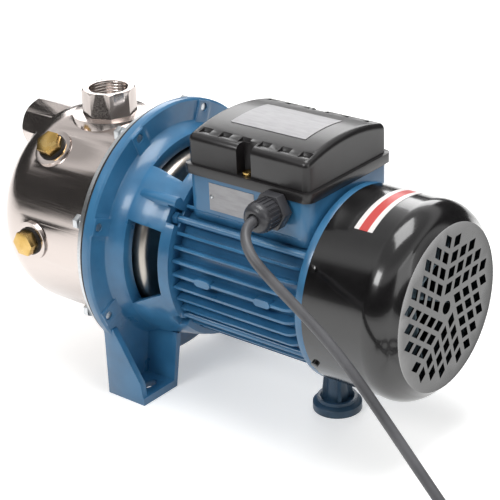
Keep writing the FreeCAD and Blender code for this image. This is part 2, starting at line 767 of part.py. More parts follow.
def lantern_windows():
    top = box("top_window", "window_end - window_start", "2 * top_window_half", "60",
              along("window_start"), "0 - top_window_half", "shaft_height + 45")
    side = plate("side_window", "XZ_Plane", [
        ("window_start", "0 - side_window_low"), ("window_end + 0.5", "14 - side_window_low"),
        ("window_end", "side_window_top"), ("window_start", "side_window_top + side_window_slope")],
        "60", FACE, "0 - 45", "shaft_height")
    return [top, side, mirrored("far_side_window", side)]


def foot_slots():
    slots = []
    for name, sign in (("near", -1), ("far", 1)):
        middle = f"{sign} * foot_slot_place"
        reach = "(foot_slot_length - foot_slot_width) / 2"
        slots.append(box(f"{name}_slot", "foot_slot_width", f"2 * {reach}", "20",
                         "0 - foot_slot_width / 2", f"{middle} - {reach}", "0 - 5"))
        for end, side in (("inner", -1), ("outer", 1)):
            slots.append(cylinder(f"{name}_slot_{end}", "foot_slot_width / 2", "20", "0",
                                  f"{middle} + {side} * {reach}", "0 - 5"))
    return slots


def rod_angles():
    """Each tie rod lies in the place of the fourth fin from the middle."""
    rise = "rod_fin_gap * 360 / fin_count"
    return [("near_top", rise), ("near_low", f"0 - {rise}"),
            ("far_top", f"180 - {rise}"), ("far_low", f"180 + {rise}")]


def rod_cuts(name, start, end, radius):
    cuts = []
    for place_name, angle in rod_angles():
        y, z = on_circle("rod_circle", angle)
        cuts.append(cylinder(f"{name}_{place_name}", radius, f"({end}) - ({start})",
                             along(start), y, z, ALONG_X))
    return cuts


def rod_pockets():
    """Pockets open to the outside in the rear rim, where the nuts of the tie rods sit.

    Over the outer half of each nut the pocket is open to the rear as well."""
    start = "bulkhead_at + bulkhead_thickness - rod_head - 0.5"
    pockets = []
    for place_name, angle in rod_angles():
        for name, radius, length in (
                ("pocket", "rod_circle - 6", "rod_head + 0.5"),
                ("mouth", "rod_circle", f"lantern_length - ({start}) + 0.5")):
            y, z = on_circle(radius, angle)
            pocket = box(f"rod_{name}_{place_name}", length, "2 * rod_pocket_half", "20",
                         along(start), f"{y} - rod_pocket_half * sin({angle})",
                         f"{z} - rod_pocket_half * cos({angle})")
            pocket.Placement.Rotation = FreeCAD.Rotation(FreeCAD.Vector(1, 0, 0), 45)
            bind(pocket, "Placement.Rotation.Angle", f"90 - ({angle})")
            pockets.append(pocket)
    return pockets


# Motor


def motor_housing():
    body = new_body("housing_body")
    tube = new_sketch(body, "housing_section", "XZ_Plane", [
        ("lantern_length", "housing_root - 3"), ("lantern_length", "housing_root - 1"),
        ("lantern_length + front_groove", "housing_root - 1"),
        ("lantern_length + front_groove", "housing_root"), ("housing_end - 2", "housing_root"),
        ("housing_end - 2", "housing_root + 2.5"),
        ("shield_at", "housing_root + 2.5"), ("shield_at", "housing_bore"),
        ("bulkhead_at + front_bearing_width + 1", "housing_bore"),
        ("bulkhead_at + front_bearing_width + 1", "housing_root - 3")])
    turning = body.newObject("PartDesign::Revolution", "housing_turning")
    turning.Profile = tube
    turning.ReferenceAxis = (tube, ["H_Axis"])
    turning.Angle = 360
    fin = new_sketch(body, "fin_outline", "XZ_Plane", [
        ("fin_start", "housing_root - 2"), ("fin_start", "fin_tip"),
        ("fin_end - 9", "fin_tip", "11", 1), ("fin_end", "fin_tip - 5.5"),
        ("fin_end", "housing_root - 2")])
    bind(fin, "AttachmentOffset.Base.z", "0 - fin_thickness / 2")
    pad = body.newObject("PartDesign::Pad", "fin_pad")
    pad.Profile = fin
    bind(pad, "Length", "fin_thickness")
    fins = round_the_axis(body, pad, "fins", 2)
    bind(fins, "Occurrences", "fin_count")
    place(body, FACE, "0", "shaft_height", FreeCAD.Rotation(FreeCAD.Vector(1, 0, 0), 90))
    wall = plate("box_base", "XZ_Plane", [
        ("box_start", "40"), ("box_end", "40"), ("box_end", "box_top - shaft_height"),
        ("box_start", "box_top - shaft_height")],
        "2 * box_half", FACE, "box_half", "shaft_height")
    rounded = rounded_block("box_outer", "box_start", "box_end", "box_half", "40",
                            "box_top - shaft_height", "8")
    foot_boss = cylinder("rear_foot_boss", "8.5", "housing_root - 42", along("rear_foot_at"), "0",
                         "shaft_height - fin_tip")
    solid = fuse("housing_solid", [body, common("box_block", wall, rounded), foot_boss])
    cuts = [cylinder("housing_core", "housing_bore",
                     "shield_at - bulkhead_at - front_bearing_width - 1",
                     along("bulkhead_at + front_bearing_width + 1"), "0", "shaft_height",
                     ALONG_X)]
    cuts += rod_cuts("housing_rod", "lantern_length - 1", "shield_at + 1",
                     "rod_radius + rod_channel")
    cuts.append(rounded_block("box_cavity", "box_start + box_wall", "box_end - box_wall",
                              "box_half - box_wall", "box_floor - shaft_height",
                              "box_top - shaft_height + 5", "5"))
    cuts.append(cylinder("wire_hole", "7", "20", along("box_start + 20"), "0",
                         "shaft_height + 50"))
    cuts.append(cylinder("gland_hole", "gland_flats / 2 - 5.2", "20", along("gland_at"),
                         "0 - box_half + 10", "gland_height", TOWARDS_MINUS_Y))
    return node(cut("motor_housing_whole", solid, fuse("housing_cuts", cuts)), "motor_housing")


def rounded_block(name, start, end, half, low, high, corner):
    """An upright block with rounded corners, from heights above the shaft."""
    body = new_body(name)
    sketch = new_sketch(body, name + "_outline", "XY_Plane", [
        (f"{start} + {corner}", f"0 - ({half})"),
        (f"{end} - {corner}", f"0 - ({half})", corner, -1),
        (end, f"{corner} - ({half})"),
        (end, f"({half}) - {corner}", corner, -1),
        (f"{end} - {corner}", half),
        (f"{start} + {corner}", half, corner, -1),
        (start, f"({half}) - {corner}"),
        (start, f"{corner} - ({half})", corner, -1)])
    pad = body.newObject("PartDesign::Pad", name + "_pad")
    pad.Profile = sketch
    bind(pad, "Length", f"({high}) - ({low})")
    body.Tip = pad
    return place(body, FACE, "0", f"shaft_height + ({low})")


def stator():
    node(turned("stator_stack", [
        ("stack_at", "rotor_radius + air_gap"), ("stack_at", "housing_bore"),
        ("stack_at + stack_length", "housing_bore"),
        ("stack_at + stack_length", "rotor_radius + air_gap")]), "stator_core")
    inner = "rotor_radius + 4"
    outer = "housing_bore - 6"
    rings = []
    for name, base, sign in (("front", "stack_at", -1),
                             ("rear", "stack_at + stack_length", 1)):
        reach = f"{base} + {sign} * winding_reach"
        shoulder = f"{base} + {sign} * (winding_reach - 4)"
        rings.append(turned(f"winding_{name}", [
            (base, inner), (shoulder, inner), (reach, f"{inner} + 4"),
            (reach, f"{outer} - 4"), (shoulder, outer), (base, outer)]))
    node(group("winding_rings", rings), "stator_windings")


def shaft():
    node(turned("shaft_bar", [
        ("0 - 21", "0"), ("0 - 21", "4"), ("0 - 13", "4"), ("0 - 13", "impeller_seat"),
        ("8", "impeller_seat"), ("8", "seal_seat_radius"),
        ("bulkhead_at - 2", "seal_seat_radius"), ("bulkhead_at - 2", "front_seat"),
        ("bulkhead_at + front_bearing_width", "front_seat"),
        ("bulkhead_at + front_bearing_width", "front_seat + 2"),
        ("stack_at - 2", "front_seat + 2"), ("stack_at - 2", "rotor_seat"),
        ("stack_at + stack_length", "rotor_seat"),
        ("stack_at + stack_length", "rear_seat + 2"),
        ("rear_bearing_at", "rear_seat + 2"), ("rear_bearing_at", "rear_seat"),
        ("rear_bearing_at + rear_bearing_width + 2", "rear_seat"),
        ("rear_bearing_at + rear_bearing_width + 2", "fan_seat"),
        ("cover_end - 34", "fan_seat"), ("cover_end - 33", "fan_seat - 1"),
        ("cover_end - 33", "0")]), "shaft")
    node(turned("rotor_stack", [
        ("stack_at - 7", "rotor_seat + 7"), ("stack_at - 7", "rotor_radius - 2"),
        ("stack_at", "rotor_radius - 2"), ("stack_at", "rotor_radius"),
        ("stack_at + stack_length", "rotor_radius"),
        ("stack_at + stack_length", "rotor_radius - 2"),
        ("stack_at + stack_length + 7", "rotor_radius - 2"),
        ("stack_at + stack_length + 7", "rotor_seat + 7"),
        ("stack_at + stack_length", "rotor_seat + 7"),
        ("stack_at + stack_length", "rotor_seat"),
        ("stack_at", "rotor_seat"), ("stack_at", "rotor_seat + 7")]), "rotor_core")
    slinger_at = "plate_cup_depth + seal_cup_depth + 2.5"
    node(turned("slinger_ring", [
        (slinger_at, "seal_seat_radius"), (slinger_at, "seal_seat_radius + 9"),
        (f"{slinger_at} + 1.5", "seal_seat_radius + 9"),
        (f"{slinger_at} + 2.5", "seal_seat_radius + 3"),
        (f"{slinger_at} + 5", "seal_seat_radius + 3"), (f"{slinger_at} + 5", "seal_seat_radius")]),
        "water_slinger")


def bearing(name, start, width, bore, outer):
    """A deep groove ball bearing: outer race, inner race, and nine balls in a cage."""
    pitch = f"(({bore}) + ({outer})) / 2"
    outer_inside = f"({pitch}) + ball_radius * 0.62"
    inner_outside = f"({pitch}) - ball_radius * 0.62"
    middle = f"({start}) + ({width}) / 2"
    groove = "ball_radius * 0.80"
    race = "ball_radius + 0.05"
    node(turned(f"{name}_outer", [
        (start, outer_inside), (start, outer), (f"({start}) + ({width})", outer),
        (f"({start}) + ({width})", outer_inside), (f"{middle} + {groove}", outer_inside, race, -1),
        (f"{middle} - {groove}", outer_inside)]), f"{name}_bearing_outer_race")
    node(turned(f"{name}_inner", [
        (start, bore), (start, inner_outside), (f"{middle} - {groove}", inner_outside, race, -1),
        (f"{middle} + {groove}", inner_outside), (f"({start}) + ({width})", inner_outside),
        (f"({start}) + ({width})", bore)]), f"{name}_bearing_inner_race")
    cage = turned(f"{name}_cage", [
        (f"{middle} - 0.8", f"({pitch}) - 1"), (f"{middle} - 0.8", f"({pitch}) + 1"),
        (f"{middle} + 0.8", f"({pitch}) + 1"), (f"{middle} + 0.8", f"({pitch}) - 1")])
    balls = []
    for index in range(8):
        y, z = on_circle(pitch, 45 * index)
        ball = DOC.addObject("Part::Sphere", f"{name}_ball_{index}")
        bind(ball, "Radius", "ball_radius")
        balls.append(place(ball, along(middle), y, z))
    node(fuse(f"{name}_balls", [cage] + balls), f"{name}_bearing_balls")


def rear_shield():
    """The rear end shield: bearing seat, joint ring and the spigot for the fan cover."""
    boss = "rear_bearing_outer + 5"
    seat_end = "rear_bearing_at + rear_bearing_width"
    joint = "shield_at + shield_edge"
    spigot = "shield_radius - cover_wall - 0.1"
    bell = turned("shield_bell", [
        ("shield_at", "housing_bore - 0.1"), ("shield_at", "shield_radius - 1"),
        ("shield_at + 1", "shield_radius"), (joint, "shield_radius"), (joint, spigot),
        (f"{joint} + spigot_length", spigot), (f"{joint} + spigot_length", f"{spigot} - 3"),
        ("shield_at + 4", f"{spigot} - 4"), ("shield_at + 4", f"{boss} + 2"),
        (f"{seat_end} + 5", boss), (f"{seat_end} + 5", "rear_seat + 2"),
        (f"{seat_end} + 1.6", "rear_seat + 2"), (f"{seat_end} + 1.6", "rear_bearing_outer"),
        ("rear_bearing_at", "rear_bearing_outer"), ("rear_bearing_at", boss),
        ("shield_at - 3", f"{boss} + 2"), ("shield_at - 3", "housing_bore - 0.1")])
    cuts = rod_cuts("shield_rod", "shield_at - 4", "shield_at + 3", "rod_radius + fit_gap")
    cuts += cover_screw_bars("shield_screw_hole", "shield_radius - 8", "20",
                             "cover_screw_radius")
    node(cut("shield", bell, fuse("shield_cuts", cuts)), "rear_shield")
    node(turned("spring_ring", [
        (seat_end, "rear_bearing_outer - 5"), (seat_end, "rear_bearing_outer - 0.3"),
        (f"{seat_end} + 1.6", "rear_bearing_outer - 0.3"),
        (f"{seat_end} + 1.6", "rear_bearing_outer - 5")]), "bearing_wave_spring")
    screws = []
    stems = cover_screw_bars("cover_screw_stem", "shield_radius - 4", "4.5",
                             "cover_screw_radius")
    heads = cover_screw_bars("cover_screw_head", "shield_radius", "1.8", "2.6")
    for index, (stem, head) in enumerate(zip(stems, heads)):
        screws.append(fuse(f"cover_screw_{index}", [stem, head]))
    node(group("cover_screw_set", screws), "fan_cover_screws")


def tie_rods():
    head_at = "bulkhead_at + bulkhead_thickness - rod_head"
    rods = []
    for place_name, angle in rod_angles():
        y, z = on_circle("rod_circle", angle)
        nut = prism(f"rod_nut_{place_name}", 6, "8", "rod_head", along(head_at), y, z, ALONG_X)
        bar = cylinder(f"rod_bar_{place_name}", "rod_radius", f"shield_at + 3 - ({head_at})",
                       along(head_at), y, z, ALONG_X)
        rods.append(fuse(f"rod_{place_name}", [nut, bar]))
    node(group("rods", rods), "tie_rods")


def cover_screw_bars(name, start, length, radius):
    """Bars pointing outwards at the four screws that hold the fan cover."""
    bars = []
    for index, angle in enumerate((30, 150, 210, 330)):
        y, z = on_circle(start, angle)
        bars.append(cylinder(f"{name}_{index}", radius, length,
                             along("shield_at + shield_edge + spigot_length / 2"), y, z,
                             FreeCAD.Rotation(FreeCAD.Vector(1, 0, 0), 90 - angle)))
    return bars


def fan_cover():
    """A drawn sheet cover whose face is pierced in five turned groups of rhombic holes."""
    wall = "cover_wall"
    joint = "shield_at + shield_edge"
    corner = "cover_end - cover_straight_end"
    shell = turned("cover_shell", [
        (joint, f"shield_radius - {wall}"), (joint, "shield_radius"),
        ("cover_straight_end", "shield_radius", f"({corner}) * 0.86", 1),
        ("cover_end - 3", "cover_face_radius + 2.6"),
        ("cover_end + 0.3", "cover_face_radius"), ("cover_end - 0.3", "cover_face_radius - 1.6"),
        ("cover_end - 0.3", "0"), (f"cover_end - 0.3 - {wall}", "0"),
        (f"cover_end - 0.3 - {wall}", "cover_face_radius - 1.6"),
        ("cover_end - 4.2", "cover_face_radius + 1.2", f"({corner}) * 0.86 - {wall}", -1),
        ("cover_straight_end", f"shield_radius - {wall}")])
    holes = DOC.addObject("Part::Feature", "grille_holes")
    holes.Shape = grille_holes()
    holes.Placement = FreeCAD.Placement(
        FreeCAD.Vector(number(along("cover_end - 10")), 0, number("shaft_height")),
        FreeCAD.Rotation())
    cuts = [holes] + cover_screw_bars("cover_screw_hole", "shield_radius - 5", "10",
                                      "cover_screw_radius + 0.1")
    node(cut("cover_pierced", shell, fuse("cover_holes", cuts)), "fan_cover")


def grille_holes():
    pitch = number("grille_pitch")
    half = number("grille_hole") / 2
    zone = number("grille_zone")
    lean = math.radians(72)
    step = FreeCAD.Vector(0, pitch, 0)
    row = FreeCAD.Vector(0, pitch * math.cos(lean), pitch * math.sin(lean))
    start = FreeCAD.Vector(0, pitch * 0.2, pitch * 1.25)
    side = FreeCAD.Vector(0, half, 0)
    slope = row * (half / pitch)
    depth = FreeCAD.Vector(20, 0, 0)
    eye = Part.makeCylinder(number("grille_eye"), depth.x, ORIGIN, FreeCAD.Vector(1, 0, 0))
    tools = [eye]
    for sector in range(5):
        for up in range(4):
            for over in range(5):
                middle = start + row * up + step * over
                if middle.Length > zone:
                    continue
                corners = [middle - side - slope, middle + side - slope,
                           middle + side + slope, middle - side + slope]
                face = Part.Face(Part.makePolygon(corners + corners[:1]))
                hole = face.extrude(depth)
                hole.rotate(ORIGIN, FreeCAD.Vector(1, 0, 0), 72 * sector)
                tools.append(hole)
    return Part.makeCompound(tools)


def cooling_fan():
    """A moulded radial fan: hub, back plate and seven straight blades."""
    hub_at = "cover_end - 56"
    hub = turned("fan_hub", [
        (hub_at, "fan_seat"), (hub_at, "fan_seat + 6"), (f"{hub_at} + 3", "fan_seat + 8"),
        (f"{hub_at} + 4", "fan_radius - 8"), (f"{hub_at} + 6", "fan_radius - 8"),
        (f"{hub_at} + 6", "fan_seat + 7"), (f"{hub_at} + 22", "fan_seat + 5"),
        (f"{hub_at} + 22", "fan_seat")])
    blades = [hub]
    for index in range(7):
        angle = index * 360 / 7
        y, z = on_circle("fan_seat + 4", angle)
        blades.append(box(f"fan_blade_{index}", "24", "2", "fan_radius - fan_seat - 4",
                          along(f"{hub_at} + 5"),
                          f"{y} - 1 * sin({angle})", f"{z} - 1 * cos({angle})",
                          FreeCAD.Rotation(FreeCAD.Vector(1, 0, 0), 90 - angle)))
    node(fuse("fan_whole", blades), "cooling_fan")


def rear_foot():
    """The moulded foot under the motor: stepped round base and a ribbed stem."""
    stem_top = "shaft_height - fin_tip"
    post = turned("rear_foot_post", [
        ("0", "0"), ("0", "rear_foot_radius"), ("5.5", "rear_foot_radius"),
        ("7", "rear_foot_radius - 2"), ("7.5", "rear_foot_radius - 3.4"),
        ("10", "rear_foot_radius - 3.4"), ("10", "rear_foot_radius - 5.5"), ("8", "11"),
        ("8", "8.5"), (stem_top, "6.2"), (stem_top, "0")],
        along("rear_foot_at"), "0", "0", FreeCAD.Rotation(FreeCAD.Vector(0, 1, 0), -90))
    ribs = [post]
    for index in range(4):
        angle = 45 + 90 * index
        rib = plate(f"rear_foot_rib_{index}", "XZ_Plane", [
            ("4", "7"), ("12", "7"), ("8", f"{stem_top}"), ("4", f"{stem_top}")], "2.4")
        rib.Placement.Rotation = FreeCAD.Rotation(FreeCAD.Vector(0, 0, 1), angle)
        place(rib, f"{along('rear_foot_at')} - 1.2 * sin({angle})", f"1.2 * cos({angle})", "0",
              rib.Placement.Rotation)
        ribs.append(rib)
    node(fuse("rear_foot_whole", ribs), "rear_foot")


# Terminal box

# How far the rounding of the cover's long edges turns before it meets the crown.
CROWN_TURN = 73.6


def terminal_box():
    low = "box_top - shaft_height"
    sheet = rounded_block("box_seal_outer", "box_start", "box_end", "box_half", low,
                          f"{low} + seal_sheet", "8")
    hole = rounded_block("box_seal_inner", "box_start + box_wall", "box_end - box_wall",
                         "box_half - box_wall", f"{low} - 1", f"{low} + seal_sheet + 1", "5")
    node(cut("box_seal", sheet, hole), "terminal_box_gasket")
    base = f"{low} + seal_sheet"
    lip_top = f"{base} + lip_height"
    lip = rounded_block("cover_lip", "box_start - lip_overhang", "box_end + lip_overhang - 0.5",
                        "box_half + lip_overhang + 0.4", base, lip_top, "6")
    half = "box_half - 0.5"
    side = "cover_side_height"
    edge = "cover_edge_round"
    start = "box_start + 1"
    end = "box_end - 1.5"
    shoulder = f"({half}) - {edge} * (1 - cos({CROWN_TURN}))"
    crown_low = f"{side} - {edge} * sin({CROWN_TURN})"
    across = plate("cover_across", "YZ_Plane", [
        (f"0 - ({half})", "0"), (half, "0"), (half, crown_low, edge, -1),
        (shoulder, side, "150", -1), (f"0 - ({shoulder})", side, edge, -1),
        (f"0 - ({half})", crown_low)],
        f"({end}) - ({start})", along(start), "0", f"shaft_height + {lip_top} - 0.5")
    DOC.recompute()
    shell = DOC.addObject("Part::Fillet", "cover_rounded")
    shell.Base = across
    shell.Edges = [(index, number("cover_end_round"), number("cover_end_round"))
                   for index in end_edges(across.Shape)]
    outside = fuse("cover_outside", [lip, shell])
    hollow = rounded_block("cover_hollow", "box_start + box_wall", "box_end - box_wall",
                           "box_half - box_wall - 0.4", f"{base} - 1",
                           f"{lip_top} + {side} - 3", "4")
    cuts = cover_grooves(lip_top, side)
    middle = "(box_start + box_end) / 2"
    walls = []
    screws = []
    for name, sign in (("near", -1), ("far", 1)):
        inner = f"({half}) - notch_depth"
        y_low = f"0 - ({half}) - 5" if sign < 0 else inner
        cuts.append(box(f"{name}_notch", "notch_width", "notch_depth + 5", "60",
                        along(f"{middle} - notch_width / 2 - 2"), y_low,
                        f"shaft_height + {lip_top}"))
        wall_low = f"0 - ({half})" if sign < 0 else f"{inner} - 2.5"
        walls.append(box(f"{name}_notch_wall", "notch_width + 5", "notch_depth + 2.5",
                         f"lip_height + {side} - 3",
                         along(f"{middle} - notch_width / 2 - 4.5"), wall_low,
                         f"shaft_height + {base}"))
        y_screw = f"{sign} * (({half}) - notch_depth / 2)"
        x_screw = along(f"{middle} - 2")
        cuts.append(cylinder(f"{name}_cover_screw_hole", "2.3", "30", x_screw, y_screw,
                             f"shaft_height + {base} - 5"))
        head = cylinder(f"{name}_cover_screw_head", "4", "2.6", x_screw, y_screw,
                        f"shaft_height + {lip_top}")
        stem = cylinder(f"{name}_cover_screw_stem", "2", "lip_height", x_screw, y_screw,
                        f"shaft_height + {base}")
        screws.append(fuse(f"{name}_cover_screw", [head, stem]))
    hollowed = cut("cover_hollowed", outside, hollow)
    walled = fuse("cover_walled", [hollowed] + [common(f"{item.Name}_trimmed", item, outside)
                                                for item in walls])
    node(cut("cover_finished", walled, fuse("cover_cuts", cuts)), "terminal_box_cover")
    node(group("cover_screw_pair", screws), "terminal_box_screws")


def end_edges(shape):
    """The numbers of the edges round both ends of a bar along X, without the lowest."""
    low = shape.BoundBox.ZMin + 1
    return [index for index, edge in enumerate(shape.Edges, start=1)
            if edge.BoundBox.XLength < 0.01 and edge.BoundBox.ZMax > low]


def cover_grooves(lip_top, side):
    """Wedge-shaped finger grooves in the crown along both long sides, deepest inwards."""
    grooves = []
    for index in range(6):
        groove = plate(f"near_groove_{index}", "YZ_Plane", [
            ("4.5 - box_half", f"{side}"), ("11.5 - box_half", f"{side} - 1.2"),
            ("13 - box_half", f"{side} + 4"), ("4.5 - box_half", f"{side} + 4")],
            "groove_width", along(f"box_start + 8 + {index} * groove_pitch"), "0",
            f"shaft_height + {lip_top}")
        grooves += [groove, mirrored(f"far_groove_{index}", groove)]
    return grooves


def terminal_parts():
    board = box("terminal_board_base", "34", "22", "4", along("box_start + 46"), "0 - 24",
                "box_floor")
    pieces = [board]
    for row in range(2):
        for column in range(3):
            pieces.append(cylinder(f"terminal_stud_{row}_{column}", "2", "14",
                                   along(f"box_start + 52 + {column} * 11"),
                                   f"0 - 18 + {row} * 10", "box_floor"))
    node(fuse("terminal_board_whole", pieces), "terminal_board")
    can = turned("capacitor_can", [
        ("0", "0"), ("0", "13"), ("1.5", "14.5"), ("58", "14.5"), ("60", "13"), ("60", "0")],
        along("box_start + 30"), "17", "box_floor + 14.5")
    node(can, "run_capacitor")


def cable_gland():
    seat = "0 - box_half - gland_shoulder"
    hexagon = prism("gland_hex", 6, "gland_flats", "gland_body_length", along("gland_at"),
                    seat, "gland_height", TOWARDS_MINUS_Y)
    tail = cylinder("gland_tail", "gland_flats / 2 - 5.3", "box_wall + 3 + gland_shoulder",
                    along("gland_at"), "box_wall + 3 - box_half", "gland_height",
                    TOWARDS_MINUS_Y)
    bore = cylinder("gland_bore", "cable_radius + 0.4", "40", along("gland_at"),
                    "0 - box_half + 10", "gland_height", TOWARDS_MINUS_Y)
    node(cut("gland_body", fuse("gland_outer", [hexagon, tail]), bore), "cable_gland_body")
    radius = "gland_nut_radius"
    length = "gland_nut_length"
    node(turned("gland_dome", [
        ("0", "cable_radius + 0.4"), ("0", radius), (f"{length} - 5", radius, "6.2", 1),
        (length, f"{radius} - 4"), (length, "cable_radius + 1.4"),
        (f"{length} - 1.6", "cable_radius + 0.05"), (f"{length} - 4", "cable_radius + 0.05"),
        (f"{length} - 4", "cable_radius + 0.4")],
        along("gland_at"), f"{seat} - gland_body_length", "gland_height",
        FreeCAD.Rotation(FreeCAD.Vector(0, 0, 1), -90)), "cable_gland_nut")


# Cable, coil and plug

# The free stretch of the cable: points from inside the gland nut, down to the floor and
# on to the coil. X is from the foot holes, and the last point is where the coil begins.
CABLE_ROUTE = [
    (118, -66, 173.5), (118, -79, 173.5), (124, -91.5, 169), (135, -98.5, 160.5),
    (151, -98.5, 148), (172, -97.5, 133), (196, -97.5, 116), (219, -99, 97),
    (243, -101.5, 75), (268, -103, 50), (292, -105, 27), (316, -107.5, 10.5),
    (341, -111, 4.6), (366, -118, 4.2), (386, -131, 4.2)]
COIL_CENTRE = (357, -165)
COIL_MIDDLE_RADIUS = 40
PLUG_PLACE = (269, -211.5, 19.5)
PLUG_PIN_LENGTH = 20


def rounded_path(points):
    """Straight runs joined by tangent arcs as large as the runs allow."""
    spots = [FreeCAD.Vector(*point) for point in points]
    edges = []
    radii = []
    length = 0.0
    last = spots[0]
    for before, here, after in zip(spots, spots[1:], spots[2:]):
        back = before - here
        ahead = after - here
        turn = math.pi - back.getAngle(ahead)
        reach = 0.45 * min(back.Length, ahead.Length)
        radius = reach / math.tan(turn / 2)
        start = here + back.normalize() * reach
        end = here + ahead.normalize() * reach
        bisector = (start + end) * 0.5 - here
        centre_distance = math.hypot(radius, reach)
        middle = here + bisector.normalize() * (centre_distance - radius)
        edges.append(Part.LineSegment(last, start).toShape())
        edges.append(Part.Arc(start, middle, end).toShape())
        length += (start - last).Length + radius * turn
        radii.append(radius)
        last = end
    edges.append(Part.LineSegment(last, spots[-1]).toShape())
    length += (spots[-1] - last).Length
    return Part.Wire(edges), radii, length


def power_cable():
    x_start, _, z_start = CABLE_ROUTE[0]
    x_move = number("gland_at - foot_hole_setback") - x_start
    rise = number("gland_height") / z_start
    points = [(x + x_move, y, z * rise) for x, y, z in CABLE_ROUTE]
    wire, radii, length = rounded_path(points)
    radius = number("cable_radius")
    start = FreeCAD.Vector(*points[0])
    direction = FreeCAD.Vector(*points[1]) - start
    ring = Part.Wire([Part.makeCircle(radius, start, direction)])
    tube = wire.makePipeShell([ring], True, False)
    expected = math.pi * radius ** 2 * length
    print("cable radii", [round(value, 1) for value in radii])
    print("cable length", round(length, 1), "volume ratio", round(tube.Volume / expected, 4))
    piece = DOC.addObject("Part::Feature", "cable_tube")
    piece.Shape = tube
    node(piece, "power_cable")


def cable_coil():
    wide = 5.0 * number("cable_radius")
    tall = 4.2 * number("cable_radius")
    inner = COIL_MIDDLE_RADIUS - wide / 2
    outer = COIL_MIDDLE_RADIUS + wide / 2
    ring = DOC.addObject("Part::Feature", "coil_ring")
    solid = Part.makeCylinder(outer, tall).cut(Part.makeCylinder(inner, tall))
    ring.Shape = solid
    ring.Placement = FreeCAD.Placement(FreeCAD.Vector(COIL_CENTRE[0], COIL_CENTRE[1], 0.2),
                                       FreeCAD.Rotation())
    node(ring, "cable_coil")


def mains_plug():
    """A straight moulded plug with two round pins, lying on its side by the coil."""
    grip = turned("plug_grip", [
        ("0", "0"), ("0", "18.5"), ("3", "19.2"), ("16", "19.2"), ("22", "16"), ("38", "13.5"),
        ("46", "9"), ("62", "5.5"), ("62", "0")],
        str(PLUG_PLACE[0]), str(PLUG_PLACE[1]), str(PLUG_PLACE[2]))
    pins = []
    for name, offset in (("upper", 9.5), ("lower", -9.5)):
        pins.append(cylinder(f"plug_pin_{name}", "2.4", str(PLUG_PIN_LENGTH),
                             str(PLUG_PLACE[0] + 1 - PLUG_PIN_LENGTH),
                             str(PLUG_PLACE[1] + offset), str(PLUG_PLACE[2]), ALONG_X))
    node(fuse("mains_plug_whole", [grip] + pins), "mains_plug")


# Building every piece


pump_casing()
casing_seals_and_bolts()
washers = [plug("filler", "filler_angle"), plug("drain", "drain_angle")]
node(group("plug_washer_pair", washers), "plug_washers")
seal_plate()
shaft_seal()
impeller()
diffuser()
ejector()
lantern_bracket()
motor_housing()
stator()
shaft()
bearing("front", "bulkhead_at", "front_bearing_width", "front_seat", "front_bearing_outer")
bearing("rear", "rear_bearing_at", "rear_bearing_width", "rear_seat", "rear_bearing_outer")
rear_shield()
tie_rods()
fan_cover()
cooling_fan()
rear_foot()
terminal_box()
terminal_parts()
cable_gland()
power_cable()
cable_coil()
mains_plug()
DOC.recompute()


def check_and_write():
    faults = []
    for thing in DOC.Objects:
        if "Invalid" in thing.State or "Error" in thing.State:
            faults.append(f"{thing.Name}: {thing.State}")
    for thing in NODES:
        if thing.Shape.isNull() or not thing.Shape.isValid() or not thing.Shape.Solids:
            faults.append(f"{thing.Label}: no sound solid")
    if faults:
        raise RuntimeError("; ".join(faults))
    os.makedirs("parts", exist_ok=True)
    for thing in NODES:
        thing.Shape.exportStep(f"parts/{thing.Label}.step")
        print(thing.Label, len(thing.Shape.Solids), round(thing.Shape.Volume))


check_and_write()
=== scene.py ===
import bmesh
import bpy
import math
from mathutils import Matrix, Vector


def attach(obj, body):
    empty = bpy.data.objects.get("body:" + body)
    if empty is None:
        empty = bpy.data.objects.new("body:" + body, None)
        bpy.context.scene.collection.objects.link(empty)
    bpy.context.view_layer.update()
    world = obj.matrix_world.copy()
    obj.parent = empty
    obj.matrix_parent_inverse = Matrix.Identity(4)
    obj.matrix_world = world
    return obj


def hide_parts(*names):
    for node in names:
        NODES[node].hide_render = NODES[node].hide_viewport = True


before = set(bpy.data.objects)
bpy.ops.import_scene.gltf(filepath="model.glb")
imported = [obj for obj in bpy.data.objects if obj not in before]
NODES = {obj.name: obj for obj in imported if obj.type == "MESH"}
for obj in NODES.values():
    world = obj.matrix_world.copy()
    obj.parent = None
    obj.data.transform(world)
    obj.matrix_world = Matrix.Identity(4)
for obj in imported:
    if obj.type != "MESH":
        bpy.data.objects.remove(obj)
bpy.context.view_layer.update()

MM = 0.001

# The view of the photograph
# A long lens looks down on the fan end and the near side of the pump, from a few
# metres away. The frame is 500 pixels square and the lens is given by its focal length.
PHOTO_SIDE = 500
FOCAL_PIXELS = 1539
SENSOR = 36.0
CAMERA_PLACE = Vector((0.7116, -0.7936, 0.5807))
CAMERA_AZIMUTH = math.radians(39.71)
CAMERA_ELEVATION = math.radians(24.68)
CAMERA_ROLL = math.radians(-2.33)

